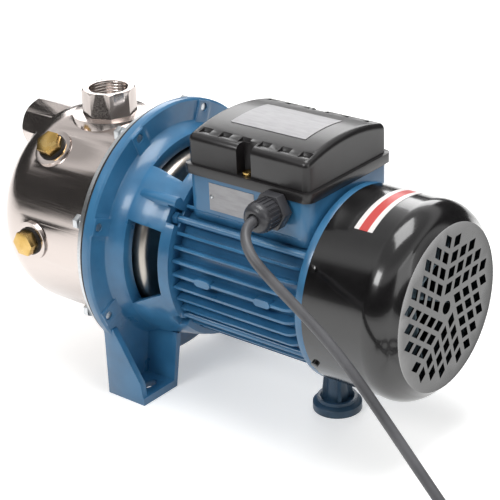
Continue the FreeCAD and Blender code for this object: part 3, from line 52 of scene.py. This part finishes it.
camera_data = bpy.data.cameras.new("photo_camera")
camera_data.sensor_width = SENSOR
camera_data.lens = FOCAL_PIXELS * SENSOR / PHOTO_SIDE
camera_data.clip_start = 0.05
camera = bpy.data.objects.new("photo_camera", camera_data)
bpy.context.scene.collection.objects.link(camera)
backwards = Vector((math.sin(CAMERA_AZIMUTH) * math.cos(CAMERA_ELEVATION),
                    -math.cos(CAMERA_AZIMUTH) * math.cos(CAMERA_ELEVATION),
                    math.sin(CAMERA_ELEVATION)))
level_right = Vector((math.cos(CAMERA_AZIMUTH), math.sin(CAMERA_AZIMUTH), 0))
level_up = backwards.cross(level_right)
right = level_right * math.cos(CAMERA_ROLL) + level_up * math.sin(CAMERA_ROLL)
up = level_up * math.cos(CAMERA_ROLL) - level_right * math.sin(CAMERA_ROLL)
turn = Matrix((right, up, backwards)).transposed().to_4x4()
camera.matrix_world = Matrix.Translation(CAMERA_PLACE) @ turn
bpy.context.scene.camera = camera
bpy.context.scene.view_settings.view_transform = "Standard"


# The mains lead
# A round flexible lead in a grey-black rubber jacket, 7.2 mm thick and 1.5 m long. It
# hangs out of the gland, drops to the floor and ends in a moulded plug. The spare
# length is wound into a neat coil beside the plug.
CORD_WIDE = 7.2 * MM
CORD_ROUTE = [
    (118, -66, 173.5), (118, -79, 173.5), (124, -91.5, 169), (135, -98.5, 160.5),
    (151, -98.5, 148), (172, -97.5, 133), (196, -97.5, 116), (219, -99, 97),
    (243, -101.5, 75), (268, -103, 50), (292, -105, 27), (316, -107.5, 10.5),
    (341, -111, 4.6), (366, -118, 4.2), (386, -131, 4.2)]
COIL_CENTRE = Vector((357, -165, 0))
COIL_INNER = 36.2
COIL_OUTER = 43.6
COIL_FLOOR = 3.9
COIL_LIFT = 7.2
COIL_START = math.radians(44)
COIL_TURNS = 4.3
COIL_POINTS_A_TURN = 14
COIL_STEP_UP = (1.8, 2.2)
PLUG_TAIL = Vector((331, -211.5, 19.5))
PLUG_LEAD_IN = (Vector((24, 2.5, -5)), Vector((8, 0, 0)), Vector((0, 0, 0)))


def linear(hex_colour):
    """The linear colour of an sRGB hex value such as 3F78A6."""
    parts = [int(hex_colour[i:i + 2], 16) / 255 for i in (0, 2, 4)]
    return [c / 12.92 if c <= 0.04045 else ((c + 0.055) / 1.055) ** 2.4 for c in parts] + [1]


def add_node(tree, kind, links=None, **settings):
    """A node with its settings, and its inputs given as values or as sockets to link."""
    made = tree.nodes.new("ShaderNode" + kind)
    for name, value in settings.items():
        setattr(made, name, value)
    for name, value in (links or {}).items():
        if isinstance(value, bpy.types.NodeSocket):
            tree.links.new(value, made.inputs[name])
        else:
            made.inputs[name].default_value = value
    return made


def new_material(name, colour, roughness, metallic=0.0, **sockets):
    """A material with its surface shader, and the tree to build its pattern in."""
    material = bpy.data.materials.new(name)
    material.use_nodes = True
    tree = material.node_tree
    shader = tree.nodes["Principled BSDF"]
    shader.inputs["Base Color"].default_value = linear(colour)
    shader.inputs["Roughness"].default_value = roughness
    shader.inputs["Metallic"].default_value = metallic
    for socket, value in sockets.items():
        shader.inputs[socket.replace("_", " ")].default_value = value
    return material, tree, shader


def grain(tree, shader, size_mm, height_mm, strength=0.3, stretch=(1, 1, 1)):
    """Fine bumps of a real size and height all over the surface."""
    place = add_node(tree, "TexCoord")
    scaled = add_node(tree, "Mapping", {"Vector": place.outputs["Object"], "Scale": stretch})
    bumps = add_node(tree, "TexNoise", {"Vector": scaled.outputs["Vector"],
                                        "Scale": 1 / (size_mm * MM), "Detail": 3})
    bump = add_node(tree, "Bump", {"Height": bumps.outputs["Fac"], "Strength": strength,
                                   "Distance": height_mm * MM})
    tree.links.new(bump.outputs["Normal"], shader.inputs["Normal"])


TONE_BAND = (0.35, 0.65)


def tone(tree, shader, dark, light, size_mm, stretch=(1, 1, 1)):
    """A slow change of colour between two tones of the same finish."""
    place = add_node(tree, "TexCoord")
    scaled = add_node(tree, "Mapping", {"Vector": place.outputs["Object"], "Scale": stretch})
    cloud = add_node(tree, "TexNoise", {"Vector": scaled.outputs["Vector"],
                                        "Scale": 1 / (size_mm * MM), "Detail": 4})
    ramp = add_node(tree, "ValToRGB", {"Fac": cloud.outputs["Fac"]})
    for element, position, colour in zip(ramp.color_ramp.elements, TONE_BAND, (dark, light)):
        element.position = position
        element.color = linear(colour)
    tree.links.new(ramp.outputs["Color"], shader.inputs["Base Color"])
    return cloud


WEAR_BAND = (0.3, 0.7)


def wear(tree, shader, pattern, smooth, rough):
    """Roughness that follows a pattern, such as the slow one of the colour."""
    spread = add_node(tree, "MapRange", {"Value": pattern.outputs["Fac"],
                                         "From Min": WEAR_BAND[0], "From Max": WEAR_BAND[1],
                                         "To Min": smooth, "To Max": rough})
    tree.links.new(spread.outputs["Result"], shader.inputs["Roughness"])


def coil_route():
    """The turns of the coil: two side by side on the floor, and two more on top of them."""
    points = []
    steps = int(COIL_TURNS * COIL_POINTS_A_TURN)
    for step in range(1, steps + 1):
        turned = step / COIL_POINTS_A_TURN
        inward = 0.5 - 0.5 * math.cos(math.pi * min(turned, 4))
        radius = COIL_OUTER + (COIL_INNER - COIL_OUTER) * inward
        climbed = (turned - COIL_STEP_UP[0]) / (COIL_STEP_UP[1] - COIL_STEP_UP[0])
        rise = min(max(climbed, 0), 1)
        angle = COIL_START - 2 * math.pi * turned
        points.append((COIL_CENTRE.x + radius * math.cos(angle),
                       COIL_CENTRE.y + radius * math.sin(angle),
                       COIL_FLOOR + COIL_LIFT * rise))
    return points


# Vulcanised rubber jacket, dull and a little dusty, which gives a soft grey sheen. Its
# grain, and that of the other fine skins below, is drawn about a millimetre wide, which
# is coarser than the real one, so that it shows.
rubber_jacket, tree, shader = new_material("rubber_jacket", "545457", 0.42, IOR=1.52)
dust = tone(tree, shader, "4C4C4F", "626265", 40)
wear(tree, shader, dust, 0.36, 0.5)
grain(tree, shader, 0.9, 0.05)

cord_points = CORD_ROUTE + coil_route() + [tuple(PLUG_TAIL + step) for step in PLUG_LEAD_IN]
cord_data = bpy.data.curves.new("mains_lead", "CURVE")
cord_data.dimensions = "3D"
cord_data.bevel_depth = CORD_WIDE / 2
cord_data.bevel_resolution = 8
cord_data.resolution_u = 10
spline = cord_data.splines.new("NURBS")
spline.points.add(len(cord_points) - 1)
for spot, place in zip(spline.points, cord_points):
    spot.co = (*[value * MM for value in place], 1)
spline.order_u = 3
spline.use_endpoint_u = True
mains_lead = bpy.data.objects.new("mains_lead", cord_data)
bpy.context.scene.collection.objects.link(mains_lead)
cord_data.materials.append(rubber_jacket)
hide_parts("power_cable", "cable_coil")
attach(mains_lead, "pump")


# The mains plug
# A straight plug moulded on the lead's end in black rubber, with two round pins in a
# shallow face and a ribbed sleeve that keeps the lead from kinking.
SMOOTH_ANGLE = math.radians(32)
ROUNDED_ANGLE = math.radians(38)
SKIN_GAP = 0.02 * MM
JOIN_GAP = 0.005 * MM


def finish_node(name, material, rounding_mm=0.0):
    """Gives a piece of the fixed frame its finish and softens its edges."""
    piece = NODES[name]
    piece.data.materials.clear()
    piece.data.materials.append(material)
    weld = piece.modifiers.new("one_skin", "WELD")
    weld.merge_threshold = SKIN_GAP
    if rounding_mm:
        bevel = piece.modifiers.new("broken_edges", "BEVEL")
        bevel.width = rounding_mm * MM
        bevel.segments = 2
        bevel.limit_method = "ANGLE"
        bevel.angle_limit = ROUNDED_ANGLE
        bevel.use_clamp_overlap = True
    soften(piece)


def soften(piece):
    """Smooth shading that stops at edges sharper than the smooth angle."""
    group = bpy.data.node_groups.get("smooth_by_angle")
    if group is None:
        group = bpy.data.node_groups.new("smooth_by_angle", "GeometryNodeTree")
        group.interface.new_socket("Geometry", in_out="INPUT", socket_type="NodeSocketGeometry")
        group.interface.new_socket("Geometry", in_out="OUTPUT", socket_type="NodeSocketGeometry")
        start = group.nodes.new("NodeGroupInput")
        end = group.nodes.new("NodeGroupOutput")
        faces = group.nodes.new("GeometryNodeSetShadeSmooth")
        edges = group.nodes.new("GeometryNodeSetShadeSmooth")
        edges.domain = "EDGE"
        sharpness = group.nodes.new("GeometryNodeInputMeshEdgeAngle")
        compare = group.nodes.new("FunctionNodeCompare")
        compare.operation = "LESS_THAN"
        compare.inputs[1].default_value = SMOOTH_ANGLE
        group.links.new(sharpness.outputs[0], compare.inputs[0])
        group.links.new(start.outputs[0], faces.inputs["Geometry"])
        group.links.new(faces.outputs[0], edges.inputs["Geometry"])
        group.links.new(compare.outputs[0], edges.inputs["Shade Smooth"])
        group.links.new(edges.outputs[0], end.inputs[0])
    modifier = piece.modifiers.new("smooth_by_angle", "NODES")
    modifier.node_group = group


def mesh_piece(name, vertices, faces, material):
    """A new piece, fixed to the pump, from its corners in millimetres and its faces."""
    data = bpy.data.meshes.new(name)
    data.from_pydata([[value * MM for value in corner] for corner in vertices], [], faces)
    data.validate()
    work = bmesh.new()
    work.from_mesh(data)
    bmesh.ops.remove_doubles(work, verts=work.verts, dist=JOIN_GAP)
    bmesh.ops.recalc_face_normals(work, faces=work.faces)
    work.to_mesh(data)
    work.free()
    piece = bpy.data.objects.new(name, data)
    bpy.context.scene.collection.objects.link(piece)
    data.materials.append(material)
    soften(piece)
    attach(piece, "pump")
    return piece


def lathe(profile, steps):
    """Corners and faces of a closed (along, radius) outline turned about the X axis."""
    vertices = []
    faces = []
    for step in range(steps):
        angle = 2 * math.pi * step / steps
        for along, radius in profile:
            vertices.append((along, radius * math.cos(angle), radius * math.sin(angle)))
    count = len(profile)
    for step in range(steps):
        here = step * count
        there = (step + 1) % steps * count
        for index in range(count):
            following = (index + 1) % count
            faces.append((here + index, here + following, there + following, there + index))
    return vertices, faces


def moved(vertices, place, turn=None):
    """The corners turned by a rotation and moved to a place, in millimetres."""
    turn = turn or Matrix.Identity(3)
    return [tuple(turn @ Vector(corner) + Vector(place)) for corner in vertices]


plug_rubber, tree, shader = new_material("moulded_plug_rubber", "2C2C2E", 0.5, IOR=1.5)
grain(tree, shader, 1.2, 0.05)
finish_node("mains_plug", plug_rubber, rounding_mm=0.4)

SLEEVE_RIBS = 7
SLEEVE_START = -26
SLEEVE_END = -0.4
SLEEVE_BORE = 3.7
SLEEVE_RADIUS = 7.6
SLEEVE_END_RADIUS = 4.6
SLEEVE_SIDES = 40
RIB_PITCH = 3.4
RIB_TAPER = 0.28
RIB_SHAPE = ((0, -1.4), (0.3, 0), (2.0, -0.1), (2.4, -1.5))
sleeve_profile = []
for rib in range(SLEEVE_RIBS):
    crest = SLEEVE_RADIUS - RIB_TAPER * rib
    start = SLEEVE_START + rib * RIB_PITCH
    sleeve_profile += [(start + along, crest + rise) for along, rise in RIB_SHAPE]
sleeve_profile += [(SLEEVE_END, SLEEVE_END_RADIUS), (SLEEVE_END, SLEEVE_BORE),
                   (SLEEVE_START, SLEEVE_BORE)]
corners, faces = lathe(sleeve_profile, SLEEVE_SIDES)
plug_sleeve = mesh_piece("plug_sleeve", moved(corners, PLUG_TAIL), faces, plug_rubber)


# Pump casing
# A deep drawn shell of 2 mm stainless sheet, satin brushed along its length, with
# eight-sided threaded sockets welded into its end and its top.
# Brushed austenitic sheet: scratches along the shaft draw the highlights out into bands.
# They are drawn wider than the real ones, so that they show.
stainless, tree, shader = new_material("brushed_stainless", "C9BFBA", 0.18, 1.0,
                                       Anisotropic=0.4)
SCRATCH_WIDE = 0.8 * MM
SCRATCH_DEEP = 0.05 * MM
SCRATCH_STRETCH = (0.03, 1, 1)
place = add_node(tree, "TexCoord")
scratch_map = add_node(tree, "Mapping", {"Vector": place.outputs["Object"],
                                         "Scale": SCRATCH_STRETCH})
scratches = add_node(tree, "TexNoise", {"Vector": scratch_map.outputs["Vector"],
                                        "Scale": 1 / SCRATCH_WIDE, "Detail": 4})
wear(tree, shader, scratches, 0.13, 0.23)
bump = add_node(tree, "Bump", {"Height": scratches.outputs["Fac"], "Strength": 0.07,
                               "Distance": SCRATCH_DEEP})
tree.links.new(bump.outputs["Normal"], shader.inputs["Normal"])
axis = add_node(tree, "Tangent", direction_type="RADIAL", axis="X")
tree.links.new(axis.outputs["Tangent"], shader.inputs["Tangent"])
finish_node("pump_casing", stainless, rounding_mm=0.5)
# The cup behind the impeller is the same sheet as drawn, dull and greyer.
drawn_sheet, tree, shader = new_material("drawn_stainless", "B4ADA5", 0.3, 1.0)
cloud = tone(tree, shader, "AEA79F", "BAB3AB", 15)
wear(tree, shader, cloud, 0.3, 0.36)
finish_node("seal_plate", drawn_sheet)

# The crests of the pipe threads stand in the plain bores of both sockets.
SHAFT_HEIGHT = 108
FACE_X = -23
UPWARDS = Matrix.Rotation(math.radians(-90), 3, "Y")
OUTWARDS = Matrix.Rotation(math.radians(180), 3, "Z")
THREAD_TURNS = 6
THREAD_STEPS = 40
THREAD_PITCH = 2.31
THREAD_START = 1.2
THREAD_RIDGE = ((-0.75, 15.3), (0, 14.8), (0.75, 15.3))
DISCHARGE_RIM = (FACE_X - 57.8, 0, 208.9)
SUCTION_RIM = (FACE_X - 138, 0, SHAFT_HEIGHT + 56)


def thread(name, place, turn):
    """The crests of a pipe thread just inside the plain bore, in one helical ridge."""
    vertices = []
    faces = []
    total = THREAD_TURNS * THREAD_STEPS
    for step in range(total + 1):
        angle = 2 * math.pi * step / THREAD_STEPS
        along = THREAD_START + THREAD_PITCH * step / THREAD_STEPS
        for ahead, radius in THREAD_RIDGE:
            vertices.append((-along + ahead, radius * math.cos(angle), radius * math.sin(angle)))
        if step < total:
            here = step * 3
            faces += [(here, here + 1, here + 4, here + 3),
                      (here + 1, here + 2, here + 5, here + 4)]
    mesh_piece(name, moved(vertices, place, turn), faces, stainless)


thread("discharge_thread", DISCHARGE_RIM, UPWARDS)
thread("suction_thread", SUCTION_RIM, OUTWARDS)

# Zinc plated steel: a bright bluish plate with a matt grain, drawn coarse enough to show.
zinc, tree, shader = new_material("zinc_plated_steel", "C6C9CC", 0.32, 1.0)
cloud = tone(tree, shader, "BEC1C4", "CDD0D2", 1.5)
wear(tree, shader, cloud, 0.3, 0.36)
finish_node("casing_backing_ring", zinc)
finish_node("casing_bolts", zinc, rounding_mm=0.3)
finish_node("bearing_wave_spring", zinc)
finish_node("impeller_nut", zinc, rounding_mm=0.3)

# Nitrile rubber sheet and rings, matt black with a slight bloom.
nitrile, tree, shader = new_material("nitrile_rubber", "141414", 0.6, IOR=1.52)
grain(tree, shader, 1.0, 0.04)
for name in ("casing_gasket", "seal_bellows", "ejector_seal_ring", "water_slinger",
             "terminal_box_gasket", "plug_washers"):
    finish_node(name, nitrile)

# Turned brass: warm and fairly bright, slightly dulled by handling.
brass, tree, shader = new_material("turned_brass", "CDAA66", 0.24, 1.0)
cloud = tone(tree, shader, "C4A05A", "D4B474", 9)
wear(tree, shader, cloud, 0.2, 0.3)
for name in ("filler_plug", "drain_plug", "terminal_box_screws"):
    finish_node(name, brass, rounding_mm=0.2)


# Lantern bracket, motor housing and rear shield
# Three castings painted together in one coat of blue enamel: the grey iron lantern with
# its feet, the die cast aluminium motor housing with its fins, and the rear ring. The
# four tie rods went through the paint with them.
# Alkyd enamel on a casting: glossy, with a faint orange peel and sand texture below.
blue_enamel, tree, shader = new_material("blue_enamel", "346F99", 0.3, IOR=1.5,
                                         Coat_Weight=0.4, Coat_Roughness=0.12)
cloud = tone(tree, shader, "30678F", "3B77A1", 26)
wear(tree, shader, cloud, 0.27, 0.38)
grain(tree, shader, 1.6, 0.12, strength=0.22)
for name, rounding in (("lantern_bracket", 0.8), ("motor_housing", 0.45), ("rear_shield", 0.5),
                       ("tie_rods", 0.25)):
    finish_node(name, blue_enamel, rounding_mm=rounding)

# Two ejector pads of the die casting stand on the edge of the middle fin.
PAD_HALF = 4.2
PAD_END = 2.8
PAD_ROOT = -61
PAD_FACE = -66.9
PAD_END_STEPS = 8
end_angles = [math.radians(-90 + 180 * index / PAD_END_STEPS)
              for index in range(PAD_END_STEPS + 1)]
pad_outline = [(side * (PAD_HALF + PAD_END * math.cos(angle)), side * PAD_END * math.sin(angle))
               for side in (1, -1) for angle in end_angles]


def fin_pad(name, x):
    """A flat pad with round ends on the edge of the fin that faces the near side."""
    count = len(pad_outline)
    corners = [(x + across, y, SHAFT_HEIGHT + height)
               for y in (PAD_ROOT, PAD_FACE) for across, height in pad_outline]
    faces = [tuple(range(count)), tuple(range(2 * count - 1, count - 1, -1))]
    for index in range(count):
        following = (index + 1) % count
        faces.append((index, index + count, following + count, following))
    mesh_piece(name, corners, faces, blue_enamel)


fin_pad("front_fin_pad", 62.6)
fin_pad("rear_fin_pad", 116)


# Inside the pump and the motor
# What turns and what guides the water: the moulded impeller, diffuser and ejector, the
# shaft in its two ball bearings, the shaft seal, the stacked cores and the windings. They
# are pressed, screwed or pushed in from either end before the casing and shield go on.
# Glass filled moulding compound, grey and matt, with a faint flow pattern.
moulding, tree, shader = new_material("glass_filled_moulding", "8C8E90", 0.5, IOR=1.5)
tone(tree, shader, "828486", "96989A", 12)
grain(tree, shader, 0.8, 0.05)
for name in ("impeller", "diffuser", "ejector_venturi", "ejector_nozzle", "terminal_board"):
    finish_node(name, moulding, rounding_mm=0.2)
# Fan of grey-blue polypropylene, slightly waxy.
fan_plastic, tree, shader = new_material("fan_polypropylene", "8FA6B4", 0.45, IOR=1.49)
tone(tree, shader, "869DAB", "98AFBD", 20)
grain(tree, shader, 1.0, 0.05)
finish_node("cooling_fan", fan_plastic, rounding_mm=0.3)
# Ground steel of the shaft and bearings: bright, with fine rings from grinding.
ground_steel, tree, shader = new_material("ground_steel", "C9C9C9", 0.2, 1.0)
grain(tree, shader, 0.7, 0.02, strength=0.15, stretch=(1, 0.05, 0.05))
for name in ("shaft", "front_bearing_outer_race", "front_bearing_inner_race",
             "front_bearing_balls", "rear_bearing_outer_race", "rear_bearing_inner_race",
             "rear_bearing_balls"):
    finish_node(name, ground_steel)
# Seal faces of carbon and alumina.
seal_ceramic, tree, shader = new_material("alumina_ceramic", "E2DED2", 0.3, IOR=1.76)
grain(tree, shader, 0.6, 0.02)
finish_node("seal_stationary_seat", seal_ceramic)
finish_node("seal_rotating_ring", seal_ceramic)
# Stacked electrical sheet: thin dark lines every millimetre or so across the shaft.
laminations, tree, shader = new_material("electrical_sheet_stack", "6E6E70", 0.45, 0.8)
grain(tree, shader, 0.9, 0.2, strength=0.6, stretch=(1, 0.02, 0.02))
finish_node("stator_core", laminations)
finish_node("rotor_core", laminations)
# Varnished copper wire, with the grain of the bundled strands.
copper_wire, tree, shader = new_material("varnished_copper_wire", "A4502A", 0.3, 0.7)
grain(tree, shader, 1.2, 0.4, strength=0.7, stretch=(1, 0.1, 0.1))
finish_node("stator_windings", copper_wire)
# Polypropylene can of the run capacitor.
capacitor_case, tree, shader = new_material("capacitor_polypropylene", "DEDEDA", 0.4)
tone(tree, shader, "D6D6D2", "E4E4E0", 20)
finish_node("run_capacitor", capacitor_case, rounding_mm=0.4)


# Fan cover
# Drawn steel sheet over the fan, painted gloss black outside, with a pierced face whose
# five groups of rhombic holes turn about the middle, and four screws in the same paint.
gloss_black, tree, shader = new_material("gloss_black_paint", "100F10", 0.2, IOR=1.5,
                                         Coat_Weight=0.6, Coat_Roughness=0.08)
cloud = tone(tree, shader, "0D0C0D", "141314", 30)
wear(tree, shader, cloud, 0.16, 0.26)
finish_node("fan_cover", gloss_black)
finish_node("fan_cover_screws", gloss_black, rounding_mm=0.3)


# Rear foot
# A dark blue moulded foot under the motor: a stepped round base and a ribbed stem.
foot_plastic, tree, shader = new_material("foot_polyamide", "2F4B62", 0.4, IOR=1.53)
tone(tree, shader, "2A4459", "35536C", 14)
grain(tree, shader, 1.1, 0.08)
finish_node("rear_foot", foot_plastic, rounding_mm=0.5)


# Terminal box cover and gland
# Moulded black plastic with an eroded, finely pebbled skin and rounded upper edges, over
# the blue box of the motor. The cable gland is dark grey nylon.
# Spark eroded plastic skin: a soft broad sheen from very small pebbles.
cover_plastic, tree, shader = new_material("eroded_black_plastic", "242223", 0.34, IOR=1.5,
                                           Coat_Weight=0.25, Coat_Roughness=0.16)
tone(tree, shader, "181617", "201E1F", 18)
grain(tree, shader, 1.0, 0.09, strength=0.35)
finish_node("terminal_box_cover", cover_plastic, rounding_mm=0.7)
gland_nylon, tree, shader = new_material("gland_nylon", "3C3C3F", 0.32, IOR=1.53)
tone(tree, shader, "37373A", "434347", 12)
grain(tree, shader, 0.9, 0.05)
finish_node("cable_gland_body", gland_nylon, rounding_mm=0.5)
finish_node("cable_gland_nut", gland_nylon, rounding_mm=0.4)

# Small grip ribs stand along the nut.
RIB_COUNT = 22
NUT_PLACE = (118, -59, 173.5)
RIB_CORNERS = ((-0.7, 0, 10.2), (0.7, 0, 10.2), (0.45, 0.6, 11.3), (-0.45, 0.6, 11.3),
               (-0.7, -10, 10.2), (0.7, -10, 10.2), (0.45, -9.4, 11.3), (-0.45, -9.4, 11.3))
RIB_FACES = ((0, 1, 2, 3), (4, 7, 6, 5), (0, 4, 5, 1), (1, 5, 6, 2), (2, 6, 7, 3), (3, 7, 4, 0))
rib_corners = []
rib_faces = []
for rib in range(RIB_COUNT):
    turned = Matrix.Rotation(2 * math.pi * rib / RIB_COUNT, 3, "Y")
    first = len(rib_corners)
    rib_corners += [tuple(turned @ Vector(corner)) for corner in RIB_CORNERS]
    rib_faces += [tuple(first + index for index in face) for face in RIB_FACES]
mesh_piece("gland_ribs", moved(rib_corners, NUT_PLACE), rib_faces, gland_nylon)


# Plates and labels
# A bare aluminium plate on the crown of the cover and another one riveted to the side of
# the box, and a plain red band on white film round the fan cover.
# Satin anodised aluminium sheet with a fine horizontal grain.
plate_sheet, tree, shader = new_material("anodised_plate", "9B9A9C", 0.45, 0.6)
cloud = tone(tree, shader, "939294", "A4A3A5", 2.2, stretch=(0.2, 1, 1))
wear(tree, shader, cloud, 0.42, 0.52)
PLATE_THICK = 0.35
PLATE_SUNK = 0.2
PLATE_FRONT = 58
PLATE_REAR = 123
PLATE_NEAR = -22
PLATE_WIDE = 42
PLATE_STEPS = 12
CROWN_RADIUS = 150
CROWN_HALF = 42.55
CROWN_EDGE = 210.3


def crown_height(y):
    """The height of the terminal cover's crown above a place across it."""
    return (CROWN_EDGE + math.sqrt(CROWN_RADIUS ** 2 - y ** 2)
            - math.sqrt(CROWN_RADIUS ** 2 - CROWN_HALF ** 2))


columns = [PLATE_NEAR + PLATE_WIDE * index / PLATE_STEPS for index in range(PLATE_STEPS + 1)]
plate_corners = []
for lift in (-PLATE_SUNK, PLATE_THICK):
    for y in columns:
        height = crown_height(y) + lift
        plate_corners += [(PLATE_FRONT, y, height), (PLATE_REAR, y, height)]
plate_faces = []
upper = 2 * len(columns)
for index in range(PLATE_STEPS):
    low = 2 * index
    top = low + upper
    plate_faces += [(low, low + 1, low + 3, low + 2), (top, top + 2, top + 3, top + 1),
                    (low, low + 2, top + 2, top), (low + 1, top + 1, top + 3, low + 3)]
plate_faces += [(0, upper, upper + 1, 1), (upper - 2, upper - 1, 2 * upper - 1, 2 * upper - 2)]
mesh_piece("cover_plate", plate_corners, plate_faces, plate_sheet)


def block(name, low, high, material):
    """A plain box between two corners."""
    corners = [(x, y, z) for x in (low[0], high[0]) for y in (low[1], high[1])
               for z in (low[2], high[2])]
    faces = [(0, 1, 3, 2), (4, 6, 7, 5), (0, 4, 5, 1), (2, 3, 7, 6), (0, 2, 6, 4), (1, 5, 7, 3)]
    mesh_piece(name, corners, faces, material)


BOX_SIDE = -47
SIDE_SUNK = 0.1
SIDE_PLATE_LOW = (57, BOX_SIDE - PLATE_THICK, 157.3)
SIDE_PLATE_HIGH = (97, BOX_SIDE + SIDE_SUNK, 177.6)
block("rating_plate", SIDE_PLATE_LOW, SIDE_PLATE_HIGH, plate_sheet)
RIVET_HEIGHT = 167.4
RIVET_SIDES = 16
RIVET_PROFILE = [(0, 0), (0, 1.5), (0.6, 1.2), (0.9, 0.5), (0.95, 0)]
TOWARDS_NEAR = Matrix.Rotation(math.radians(-90), 3, "Z")
for name, x in (("front_rivet", 59.2), ("rear_rivet", 94.8)):
    corners, faces = lathe(RIVET_PROFILE, RIVET_SIDES)
    mesh_piece(name, moved(corners, (x, BOX_SIDE - PLATE_THICK, RIVET_HEIGHT), TOWARDS_NEAR),
               faces, zinc)

# Vinyl film: white with a red stripe along its middle, slightly glossy.
FILM_START = 173.5
FILM_WIDE = 14.5
FILM_RADIUS = 71.06
FILM_THICK = 0.12
FILM_LOW = 58
FILM_TOP = 108
FILM_STEPS = 36
FILM_WHITE = "E6E1DF"
STRIPE_RED = "C4423E"
STRIPE_HALF = 3.4
label_film, tree, shader = new_material("label_film", FILM_WHITE, 0.32, IOR=1.5)
place = add_node(tree, "TexCoord")
split = add_node(tree, "SeparateXYZ", {"Vector": place.outputs["Object"]})
from_middle = add_node(tree, "Math", {0: split.outputs["X"],
                                      1: (FILM_START + FILM_WIDE / 2) * MM},
                       operation="SUBTRACT")
distance = add_node(tree, "Math", {0: from_middle.outputs[0]}, operation="ABSOLUTE")
stripe = add_node(tree, "Math", {0: distance.outputs[0], 1: STRIPE_HALF * MM},
                  operation="LESS_THAN")
colours = add_node(tree, "Mix", {0: stripe.outputs[0], 6: linear(FILM_WHITE),
                                 7: linear(STRIPE_RED)}, data_type="RGBA")
tree.links.new(colours.outputs[2], shader.inputs["Base Color"])
film_corners = []
film_faces = []
for step in range(FILM_STEPS + 1):
    angle = math.radians(FILM_LOW + (FILM_TOP - FILM_LOW) * step / FILM_STEPS)
    for x in (FILM_START, FILM_START + FILM_WIDE):
        for radius in (FILM_RADIUS, FILM_RADIUS + FILM_THICK):
            film_corners.append((x, -radius * math.cos(angle),
                                 SHAFT_HEIGHT + radius * math.sin(angle)))
    if step < FILM_STEPS:
        here = 4 * step
        film_faces += [tuple(here + index for index in face)
                       for face in ((0, 2, 6, 4), (1, 5, 7, 3), (0, 4, 5, 1), (2, 3, 7, 6))]
last = 4 * FILM_STEPS
film_faces += [(0, 1, 3, 2), (last, last + 2, last + 3, last + 1)]
mesh_piece("film_band", film_corners, film_faces, label_film)


# Stage
# A pale seamless floor, white where it is seen, with the object's own soft shadow, and
# large soft boxes as in a product studio.
FLOOR_HALF = 6.0
floor_data = bpy.data.meshes.new("studio_floor")
floor_data.from_pydata([(-FLOOR_HALF, -FLOOR_HALF, 0), (FLOOR_HALF, -FLOOR_HALF, 0),
                        (FLOOR_HALF, FLOOR_HALF, 0), (-FLOOR_HALF, FLOOR_HALF, 0)], [],
                       [(0, 1, 2, 3)])
studio_floor = bpy.data.objects.new("studio_floor", floor_data)
bpy.context.scene.collection.objects.link(studio_floor)
floor_paper, tree, shader = new_material("white_paper", "F2F2F1", 0.9)
# The paper is lifted to white for the eye and for reflections only, not as a light.
FLOOR_LIFT = 0.42
ray = add_node(tree, "LightPath")
seen = add_node(tree, "Math", {0: ray.outputs["Is Camera Ray"],
                               1: ray.outputs["Is Glossy Ray"]}, operation="ADD")
seen = add_node(tree, "Math", {0: seen.outputs[0],
                               1: ray.outputs["Is Transmission Ray"]}, operation="ADD")
lift = add_node(tree, "Math", {0: seen.outputs[0], 1: FLOOR_LIFT}, operation="MULTIPLY")
glow = add_node(tree, "Emission", {"Color": linear("FFFFFF"), "Strength": lift.outputs[0]})
both = add_node(tree, "AddShader")
tree.links.new(shader.outputs[0], both.inputs[0])
tree.links.new(glow.outputs[0], both.inputs[1])
tree.links.new(both.outputs[0], tree.nodes["Material Output"].inputs["Surface"])
floor_data.materials.append(floor_paper)

world = bpy.data.worlds.new("studio")
bpy.context.scene.world = world
world.use_nodes = True
sky = world.node_tree
for old in list(sky.nodes):
    sky.nodes.remove(old)
# Dark walls up to 30 degrees, a bright ring of lit ceiling above them, greyer overhead.
view = add_node(sky, "TexCoord")
split = add_node(sky, "SeparateXYZ", {"Vector": view.outputs["Generated"]})
ramp = add_node(sky, "ValToRGB", {"Fac": split.outputs["Z"]})
WALL_STOPS = ((0.0, 0.05), (0.50, 0.05), (0.58, 1.0), (0.66, 1.0), (0.78, 0.6), (1.0, 0.6))
while len(ramp.color_ramp.elements) < len(WALL_STOPS):
    ramp.color_ramp.elements.new(0.5)
for element, (position, level) in zip(ramp.color_ramp.elements, WALL_STOPS):
    element.position = position
    element.color = (level, level, level, 1)
light = add_node(sky, "Background", {"Color": ramp.outputs["Color"], "Strength": 0.9})
out = add_node(sky, "OutputWorld")
sky.links.new(light.outputs[0], out.inputs["Surface"])

LAMP_TARGET = Vector((0.05, 0, 0.1))
SOFT_BOXES = (
    ("top_box", (0.1, 0.1, 1.6), (1.0, 0.8), 15),
    ("near_box", (-0.2, -1.7, 1.5), (0.8, 0.5), 12),
    ("far_box", (-1.1, 1.5, 1.0), (1.6, 0.8), 14),
    ("fan_end_box", (2.0, -0.3, 0.9), (1.0, 1.0), 6),
)
for name, spot, size, power in SOFT_BOXES:
    lamp = bpy.data.lights.new(name, "AREA")
    lamp.shape = "RECTANGLE"
    lamp.size, lamp.size_y = size
    lamp.energy = power
    holder = bpy.data.objects.new(name, lamp)
    bpy.context.scene.collection.objects.link(holder)
    holder.location = spot
    aim = LAMP_TARGET - Vector(spot)
    holder.rotation_mode = "QUATERNION"
    holder.rotation_quaternion = aim.to_track_quat("-Z", "Y")
